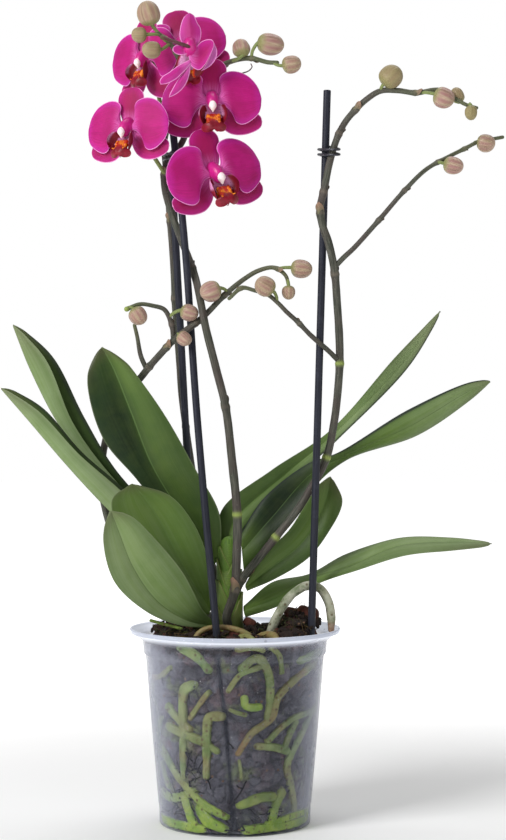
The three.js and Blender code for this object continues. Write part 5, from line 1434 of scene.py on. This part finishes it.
# each leaf: the rails of its left edge, midrib and right edge, then the tone down its left half, down
# its right half and on its back, from deep green (0) to the pale underside (1), where a darker half is
# partly painted shade on the half turned from the light, how dark each edge is, partly painted shade
# along a folded edge, and the share of the length over which the tip is rounded
LEAVES = {
    "leaf_left_front": {
        "left": [[-14, -9, 111], [-30, -21, 114], [-49, -32, 123], [-66, -39, 140], [-72, -43, 163],
                 [-70, -43, 178]],
        "rib": [[-13, -8, 112.5], [-27, -17, 117], [-43, -26, 128], [-56, -33, 147], [-64, -38, 168],
                [-68, -41, 179.5]],
        "right": [[-12, -7, 115], [-18, -20, 123], [-29, -30, 145], [-44, -37, 164], [-56, -41, 176],
                  [-66, -42, 180]],
        "tones": ([0.84, 0.86, 0.86, 0.84], [0.62, 0.68, 0.74, 0.78], 0.1), "close": 0.1},
    "leaf_left_olive": {
        "left": [[-15, -4, 118], [-28, -9, 126], [-47, -14, 141], [-63, -18, 162], [-69, -20, 184],
                 [-62, -19, 192]],
        "rib": [[-14, -3, 121], [-22, -5, 134], [-32, -9, 152], [-42, -12, 172], [-51, -15, 186],
                [-58, -17, 193.5]],
        "right": [[-12, -4, 124], [-13, -9, 137], [-16, -14, 154], [-23, -18, 171], [-35, -20, 186],
                  [-50.5, -18, 192.6]],
        "tones": ([0.42, 0.46, 0.5, 0.4], [0.3, 0.42, 0.5, 0.36], 0.1), "close": 0.12},
    "leaf_left_tall": {
        "left": [[-12, 4, 146], [-34, 3, 166], [-56, 1, 195], [-75, -1, 218], [-84, -2, 248], [-83, -1, 266]],
        "rib": [[-10, 4, 149], [-28, 6, 172], [-47, 6, 202], [-60, 4, 235], [-70, 2, 260], [-76, 0, 271]],
        "right": [[-8, 3, 152], [-9, 2, 176], [-23, 1, 202], [-40, -1, 232], [-56, -2, 255],
                  [-65.5, -1, 267]],
        # painted shade: the left half's low tones stand for the half turned from the light; soft blurs it
        # across the midrib
        "tones": ([0.2, 0.05, 0.0, 0.02, 0.18], [0.26, 0.2, 0.3, 0.4, 0.38], 0.8), "close": 0.13,
        "soft": 0.35},
    "leaf_left_high": {
        "left": [[-15, 6, 133], [-46, 14, 169], [-72, 16, 197], [-94, 16, 228], [-110, 17, 264],
                 [-128, 24, 285]],
        "rib": [[-16, 9, 132], [-49, 19, 167], [-76, 22, 194], [-101, 23, 224], [-119, 24, 258],
                [-130, 26, 285]],
        "right": [[-13, 11, 135], [-43, 20, 171], [-69, 23, 199], [-88, 24, 231], [-107, 26, 266],
                  [-128, 27, 286]],
        "tones": ([0.2, 0.6, 0.95, 1.0], [0.1, 0.15, 0.35, 0.5], 0.95), "rim": (0, 0.8)},
    "leaf_left_low": {
        "left": [[-15, 4, 126], [-40, 8, 158], [-64, 5, 187], [-90, 0, 211], [-112, -3, 234], [-132, 1, 248]],
        "rib": [[-17, 7, 124], [-46, 10, 153], [-74, 11, 179], [-97, 9, 204], [-118, 5, 229],
                [-134, 3, 247.5]],
        "right": [[-14, 9, 127], [-40, 11, 159], [-63, 10, 188], [-89, 10, 212], [-111, 9, 236],
                  [-131, 4, 249]],
        "tones": ([0.5, 0.75, 0.8, 0.75], [0.1, 0.3, 0.4, 0.5], 1.0), "rim": (0, 0.7)},
    "leaf_right_high": {
        "left": [[-9, 7, 156], [-8, 12, 177], [21, 20, 200], [56, 24, 224], [94, 30, 266], [118, 29, 292]],
        "rib": [[-5, 6, 153], [-1, 11, 170], [30, 17, 198], [58, 22, 221], [98, 26, 262], [120, 28, 293]],
        "right": [[-3, 4, 150], [4, 8, 165], [38, 13, 198], [60, 12, 219], [100, 15, 259], [120, 27, 291]],
        "tones": ([0.15, 0.25, 0.3, 0.85, 1.0], [0.5, 0.6, 0.7, 0.95, 1.0], 0.8), "rim": (0, 0.8)},
    "leaf_right_middle": {
        "left": [[3, 4, 164], [16, 6, 184], [41, 8, 203.5], [61, 2, 211.5], [98, -8, 235], [130, -16, 250],
                 [143, -16, 252]],
        "rib": [[4, 2, 154], [22, 5, 174], [44, 6, 198], [63, 4, 209], [101, -4, 227], [132, -13, 246],
                [144, -15, 251]],
        "right": [[5, 0, 143], [30, -1, 167.5], [48, 1, 193.5], [65, 7, 206.5], [104, 5, 220], [134, -7, 241],
                  [144, -14, 250]],
        "tones": ([0.0, 0.0, 0.25, 0.8, 0.85], [0.05, 0.0, 0.3, 0.8, 0.9], 0.0), "rim": (1, 0)},
    "leaf_right_paddle": {
        "left": [[6, -5, 136], [14, -5, 150], [31, -4, 167], [40, -3, 181], [46, -3, 190], [50, -3, 196.5]],
        "rib": [[6, -4, 134], [19, -3, 144], [36, -2, 157], [46, -1, 170], [52, -1, 184], [54.4, -2, 197]],
        "right": [[7, -5, 132], [23, -6, 139], [42, -5, 151], [53, -5, 165], [61, -5, 181], [60, -4, 192.5]],
        "tones": ([0.4, 0.5, 0.5, 0.4], [0.2, 0.2, 0.26, 0.32], 0.9), "close": 0.16},
    "leaf_right_low": {
        "left": [[5, 2, 123], [21, 8, 136], [43, 14, 140], [64, 14, 152], [93, 8, 161], [122, -4, 162],
                 [143, -20, 161]],
        "rib": [[5, -2, 120], [24, 2, 127], [45, 4, 138], [66, 0, 145], [93, -8, 157], [122, -16, 160],
                [144, -22, 160]],
        "right": [[6, -5, 117], [26, -4, 124], [46, -4, 135], [68, -12, 144], [94, -22, 153],
                  [121, -26, 156], [143, -25, 159]],
        "tones": ([0.4, 0.65, 0.85, 0.9], [0.3, 0.5, 0.75, 0.85], 0.8)},
}
LEAF_THICKNESS, LEAF_ROWS, LEAF_COLUMNS = 1.7, 96, 64


def leaf(name):
    """A leaf: a creased blade between its rails, thinner toward the tip, each half arched a little off
    the midrib, its edges fluttering slightly."""
    data = LEAVES[name]
    u = np.linspace(0, 1, LEAF_ROWS)
    rails = (curve(data[key], u) for key in ("left", "rib", "right"))
    *halves, far = data["tones"]
    shape = blade(*rails, LEAF_THICKNESS * (1 - 0.35 * u), columns=LEAF_COLUMNS, crease=0.5, arch=0.1,
                  flutter=0.35, close=data.get("close", 0.05))
    along, across, front = (shape["fields"][key] for key in ("along", "across", "front"))
    one, other = (np.interp(along, np.linspace(0, 1, len(tones)), tones) for tones in halves)
    soft = data.get("soft", 0.1)
    # painted shade: the two halves' tones meet across the midrib, the darker half standing for the side
    # turned from the light
    near = one + (other - one) * smooth(across, -soft, soft)
    left_rim, right_rim = data.get("rim", (0, 0))
    # rim: dark edge strips, partly painted shade
    shape["fields"]["rim"] = np.where(across < 0, left_rim, right_rim) * smooth(np.abs(across), 0.82, 0.93)
    shape["fields"]["tone"] = near * front + far * (1 - front)
    dress(name, [shape], [LEAF])


for name in LEAVES:
    leaf(name)


# ------------------------------------------------------------------ stem base

CROWN_LINE = [[-3, 0, 103], [-3.4, 0, 118], [-3.6, 1, 138], [-3.4, 3, 158]]
# leaf sheaths: height of the foot, length, side it stands on (degrees from the front), radius, dryness
SHEATHS = [(104, 20, -80, 8.6, 0.6), (107, 24, 95, 8.4, 0.5), (112, 26, -70, 8.0, 0.25),
           (118, 26, 85, 7.6, 0.1), (124, 26, -95, 7.2, 0.05), (131, 24, 75, 6.8, 0.0),
           (139, 18, -80, 6.2, 0.0)]
SHEATH_ROWS, SHEATH_COLUMNS, SHEATH_THICKNESS = 26, 25, 0.9


def stem_base():
    """The short upright stem: a ribbed core and the overlapping sheaths of the leaf bases round it. A
    sheath reaches 125 (1 - 0.8 u) degrees to each side at share u of its height."""
    line = evenly(CROWN_LINE, step=1.2)
    share = np.linspace(0, 1, len(line))[:, None]
    a = around(32)
    core = 7.4 - 2.6 * share ** 2 + 0.35 * np.sin(22 * share) + 0.12 * np.cos(8 * a)
    parts = [tube(line, core, 32, tone=0.6 * (1 - share), across=np.cos(a), edge=5.0)]
    u = np.linspace(0, 1, SHEATH_ROWS)[:, None]
    v = np.linspace(-1, 1, SHEATH_COLUMNS)[None, :]
    half = np.radians(125) * (1 - 0.8 * u)
    for foot, size, way, radius, dry in SHEATHS:
        height = foot + size * u
        centre = np.stack([np.interp(height, line[:, 2], line[:, 0]),
                           np.interp(height, line[:, 2], line[:, 1]), height], -1)
        away = radius * (1 - 0.16 * u) + 1.4 * u ** 2.5
        angle = np.radians(way) + v * half
        out = np.stack([np.sin(angle), -np.cos(angle), 0 * angle], -1)
        outer = centre + out * away[..., None]
        inner = outer - unit(outer - centre) * SHEATH_THICKNESS
        ring = np.concatenate([outer, inner[:, ::-1]], 1)
        both = np.c_[v, v[:, ::-1]]
        parts.append(surface(ring, tone=dry, across=both, along=u, edge=(1 - np.abs(both)) * half * away))
    dress("stem_base", parts, [SHEATH])


stem_base()


# ------------------------------------------------------------------ blooms

# outlines in a bloom's own plane, from its middle to the tip: the upper or left edge, then the other
DORSAL = ([[-2.2, 1.0], [-5.2, 5.0], [-7.2, 10.0], [-9.0, 15.0], [-8.8, 20.0], [-5.4, 23.6], [0.2, 24.9]],
          [[2.2, 1.0], [5.2, 5.0], [7.0, 10.0], [8.7, 15.0], [8.8, 19.6], [5.8, 23.2], [0.2, 24.9]])
PETAL = ([[0.6, 1.8], [4.2, 3.4], [5.2, 8.0], [4.7, 12.5], [6.2, 15.0], [9.4, 16.4], [13.2, 16.7],
          [17.8, 15.5], [21.8, 12.9], [25.4, 8.5], [27.4, 4.2], [28.0, 0.2]],
         [[0.6, -1.8], [4.6, -2.0], [8.0, -4.0], [10.3, -6.8], [11.7, -9.6], [12.9, -12.5], [15.3, -14.0],
          [18.4, -13.7], [22.2, -11.7], [25.8, -8.4], [27.5, -4.4], [28.0, 0.2]])
SEPAL = ([[0.4, 0.6], [8.0, -2.2], [14.6, -4.4], [20.6, -5.9], [25.0, -7.6], [26.9, -9.6], [27.2, -12.0]],
         [[-0.6, -2.4], [1.2, -8.0], [4.6, -14.4], [9.2, -18.2], [15.4, -19.2], [21.0, -18.2], [25.2, -16.2],
          [26.9, -14.2], [27.2, -12.0]])
# the bloom that shows its back: folded tepals traced in the viewer's plane, with their depth, how much
# of the pale reverse each half shows, and how far the midrib stands toward the viewer
FOLDED = [
    ([[-0.7, -0.9], [-3.8, 1.9], [-5.7, 6.4], [-5.2, 12.5], [-3.2, 17.6], [-0.1, 20.0]],
     [[2.9, 0.2], [4.9, 2.5], [6.3, 6.9], [6.0, 11.4], [4.3, 14.2], [2.3, 18.4], [-0.1, 20.0]],
     0.0, (0.2, 0.1), 2.2),
    ([[-1.6, 0.9], [-4.9, 1.6], [-7.7, 1.3], [-9.3, 0.0], [-9.6, -1.2]],
     [[-1.2, -3.2], [-4.9, -4.2], [-7.7, -3.4], [-9.2, -2.2], [-9.6, -1.2]],
     2.6, (0.0, 0.0), -0.5),
    ([[0.7, -0.9], [3.5, 0.5], [6.5, 3.5], [9.5, 4.7], [12.4, 4.5], [13.8, 2.4]],
     [[-0.7, -4.8], [0.7, -9.8], [5.1, -12.4], [8.2, -9.8], [10.5, -5.9], [13.0, -0.4], [13.8, 2.4]],
     1.6, (0.0, 0.0), -1.4),
    ([[13.4, 3.2], [15.2, -1.0], [14.4, -6.0], [10.6, -10.4], [6.2, -12.6]],
     [[12.8, 1.6], [11.4, -3.6], [9.6, -7.6], [7.8, -10.6], [6.2, -12.6]],
     -0.4, (0.9, 0.9), -0.6),
    ([[-0.4, -6.5], [-6.0, -9.8], [-11.6, -13.8], [-15.5, -16.5], [-16.8, -19.0], [-16.1, -20.7]],
     [[0.6, -8.7], [-2.7, -12.9], [-7.7, -17.7], [-12.7, -20.2], [-16.1, -20.7]],
     2.8, (0.0, 0.15), 1.2),
    ([[-1.3, -11.0], [-4.9, -15.4], [-7.7, -19.3], [-9.9, -23.3], [-11.2, -25.8], [-11.6, -27.6]],
     [[0.4, -9.3], [-0.1, -14.3], [-1.7, -19.3], [-4.5, -23.3], [-8.2, -26.2], [-11.6, -27.6]],
     1.4, (0.05, 0.2), 0.9),
]


TEPAL_ROWS, FOLDED_ROWS, LIP_ROWS, TEPAL_THICKNESS = 46, 40, 40, 0.7


def plane_rails(outline, rows):
    """The two edges of a flat outline, each evenly stepped from base to tip, and the line midway."""
    edges = [evenly([[x, y, 0.0] for x, y in edge], count=rows) for edge in outline]
    return edges[0], (edges[0] + edges[1]) / 2, edges[1]


def tepal(outline, mirror, lift, dome, droop, sepal, name, seed):
    """A tepal: a blade between its outline's edges, lifted in front of or behind the bloom's middle.
    The midline domes by dome * sin(pi u^0.8) and the tip falls back by droop * u^2, with a slight
    random waviness that is different for each. A drooping bloom's lower sepals turn down by its hang,
    right and left."""
    hang = np.radians(BLOOMS[name].get("hang", (0, 0))[0 if mirror > 0 else 1] if outline is SEPAL else 0)
    left, middle, right = plane_rails(outline, TEPAL_ROWS)
    u = np.linspace(0, 1, TEPAL_ROWS)
    draw = np.random.default_rng(seed)
    wave, size = draw.uniform(-0.5, 0.5, 3), 1 + draw.uniform(-0.02, 0.02)
    base = lift * np.minimum(1, 0.35 + 3 * u) - droop * u ** 2
    for line, extra in ((left, wave[0] * np.sin(3.3 * u) * u), (right, wave[1] * np.sin(2.8 * u + 1) * u),
                        (middle, dome * np.sin(np.pi * u ** 0.8) + wave[2] * 0.5 * u)):
        line[:, 2] = base + extra
        line[:, :2] *= size
        line[:, :2] = line[:, :2] @ np.array([[np.cos(hang), -np.sin(hang)], [np.sin(hang), np.cos(hang)]])
        line[:, 0] *= mirror
    shape = blade(left, middle, right, TEPAL_THICKNESS * (1 - 0.25 * u), columns=56, flutter=0.22,
                  close=0.035, front=(0, 0, 1), sepal=sepal)
    shape["grid"] = placed(shape["grid"], name)
    return shape


def folded_tepal(outline, lift, reverse, keel, name):
    """A tepal of the bloom that shows its back, traced in the viewer's plane; reverse says how much of
    the pale outer side shows on each half, and keel how far the midrib stands forward."""
    left, middle, right = plane_rails(outline, FOLDED_ROWS)
    u = np.linspace(0, 1, FOLDED_ROWS)
    for line, extra in ((left, 0 * u), (right, 0 * u), (middle, keel * np.sin(np.pi * u ** 0.8))):
        line[:, 2] = lift * np.minimum(1, 0.3 + 2 * u) + extra
    shape = blade(left, middle, right, TEPAL_THICKNESS * (1 - 0.25 * u), crease=0.5, flutter=0.15,
                  close=0.05, front=(0, 0, 1), sepal=0.25)
    across = shape["fields"]["across"]
    shown = np.where(across < 0, reverse[0], reverse[1])
    shape["fields"]["front"] = np.minimum(shape["fields"]["front"], 1 - shown)
    shape["grid"] = turned(shape["grid"], BLOOMS[name]["at"])
    return shape


def column(name):
    """The column in a bloom's middle: a short broad magenta body with winged shoulders, and before it a
    small white cap drawn down into a beak. Behind the tepals is the neck of the stalk."""
    line = evenly([[0, 1.6, -1.0], [0, 0.4, 1.4], [0, -0.9, 3.4], [0, -2.4, 4.6]], count=16)
    share = np.linspace(0, 1, 16)[:, None]
    a = around(28)
    radius = (4.3 - 0.9 * share ** 2) * (1 + 0.16 * np.cos(2 * a))
    body = tube(line, radius, 28, paint=1, tone=1.0)
    b, a = np.linspace(0.08, np.pi - 0.08, 18)[:, None], around(22)
    low = smooth(-np.cos(b), -0.1, 1.0)
    grid = np.stack([2.25 * np.sin(b) * np.cos(a) * (1 - 0.6 * low), 3.2 * np.cos(b) + 0 * a,
                     2.0 * np.sin(b) * np.sin(a) * (1 - 0.5 * low) - 0.8 * low], -1)
    cap = surface(grid + np.array([0, -4.0, 7.4]), 1, tone=0.0)
    neck = blob((0, 0.2, -1.4), (7.6, 7.6, 5.4), 12, 20, paint=1, tone=1.0)
    for part in (body, cap, neck):
        part["grid"] = placed(part["grid"], name)
    return [body, cap, neck]


def side_lobe(side):
    """One side lobe of the lip: an oval shell, 4.9 sin(pi u)^0.6 mm to each side of a line that runs
    down beside the column. It stands out and forward, bulges outward and curls in at its rim."""
    u = np.linspace(0, 1, 30)
    bow = np.sin(np.pi * u)
    line = np.stack([side * (5.3 + 1.3 * bow - 1.6 * u ** 3), -2.9 - 12.2 * u, 5.0 + 2.0 * bow], 1)
    out = np.array([side * 0.7, 0.0, 0.71])
    half = (4.9 * np.sin(np.pi * (0.05 + 0.9 * u)) ** 0.6)[:, None]
    bulge = np.array([side * 0.71, 0.0, -0.5]) * (1.5 * bow)[:, None]
    inner, outer = line - out * half, line + out * half - np.array([side * 2.2, 0, 0]) * bow[:, None]
    shape = blade(inner, line + bulge, outer, 0.55, columns=34, close=0.1, front=(0, 0, 1))
    across, along = shape["fields"]["across"] * side, shape["fields"]["along"]
    shape["fields"]["pale"] = 0.95 * smooth(-across, 0.1, 0.6) * (1 - smooth(along, 0.42, 0.6))
    shape["fields"]["dark"] = smooth(across, -0.2, 0.5)
    return shape


# the lip's middle lobe in its own plane: one half's edge from the foot to the notched front
ANCHOR = [[2.6, -8.4], [2.2, -11.0], [2.3, -13.0], [4.4, -13.5], [6.5, -14.6], [7.0, -16.4], [5.9, -18.2],
          [3.2, -18.8], [0.7, -18.0], [0.1, -17.6]]


def lip(name):
    """The lip: two side lobes like brackets, a pale spotted throat, a striped two-humped callus with
    two upright teeth, and a middle lobe like a broad anchor that ends in two curled hairs."""
    small = 0.86 if name == "bloom_turned" else 1.0
    u = np.linspace(0, 1, LIP_ROWS)
    parts = []
    for side in (-1, 1):
        parts.append(side_lobe(side))
        hump = blob((side * 2.7, -11.6, 6.4), (3.2, 3.4, 7.0), 16, 20, axis=(side * 0.12, 0.9, -0.3),
                    rough=0.1, seed=7, callus=1.0, edge=5.0)
        parts.append(hump)
        tooth = evenly([[side * 2.2, -12.0, 7.8], [side * 2.9, -13.6, 9.2], [side * 3.9, -13.4, 10.0]],
                       count=12)
        parts.append(tube(tooth, 0.85 - 0.05 * np.arange(12), sides=8, callus=0.9, edge=5.0))
    foot = curve([[0, -1.6, 1.2], [0, -5.0, 1.8], [0, -8.6, 3.6], [0, -11.0, 5.4]], u)
    wide = np.stack([3.4 + 1.6 * u, 0 * u, 1.6 + 0 * u], 1)
    throat = blade(foot + wide * [-1, 1, 1], foot, foot + wide, 0.6, columns=30, close=0.05, front=(0, 0, 1))
    throat["fields"]["pale"] = 0.55 + 0.4 * np.abs(throat["fields"]["across"])
    throat["fields"]["edge"] = throat["fields"]["edge"] + 1
    parts.append(throat)
    side = evenly([[x, y, 0.0] for x, y in ANCHOR], count=LIP_ROWS)
    height = np.interp(side[:, 1], [-19, -15, -13, -10, -8], [8.6, 9.8, 9.2, 7.2, 5.2])
    edge = np.stack([side[:, 0] * small, side[:, 1], height - 0.13 * side[:, 0] ** 1.6], 1)
    middle = curve([[0, -8.4, 5.0], [0, -11.6, 7.4], [0, -14.4, 9.6], [0, -16.4, 10.2], [0, -17.6, 9.4]], u)
    shape = blade(edge * [-1, 1, 1], middle, edge, 1.1 - 0.5 * u, columns=48, crease=0.25, arch=0.1,
                  close=0.03, front=(0, 0, 1))
    shape["fields"]["callus"] = 0.75 * (1 - smooth(shape["fields"]["along"], 0.25, 0.4))
    parts.append(shape)
    for way in (-1, 1):
        hair = evenly([[way * 0.5, -17.6, 9.2], [way * 1.8, -18.9, 9.8], [way * 3.2, -18.5, 10.8]], count=10)
        parts.append(tube(hair, 0.28 - 0.02 * np.arange(10), sides=6, edge=5.0))
    for part in parts:
        part["grid"] = placed(part["grid"], name)
    return parts


for seed, name in enumerate(BLOOMS):
    if name == "bloom_turned":
        shapes = [folded_tepal((a, b), lift, reverse, keel, name) for a, b, lift, reverse, keel in FOLDED]
    else:
        shapes = [tepal(DORSAL, 1, -1.3, 0.9, 1.0, 1.0, name, 50 + seed)]
        for mirror in (1, -1):
            shapes.append(tepal(SEPAL, mirror, -1.5, 0.8, 1.2, 1.0, name, 60 + seed + 10 * mirror))
            shapes.append(tepal(PETAL, mirror, 1.2, 1.9, 1.0, 0.0, name, 80 + seed + 10 * mirror))
    dress(name + "_tepals", shapes + column(name), [TEPAL, COLUMN])
    dress(name + "_lip", lip(name), [LIP])
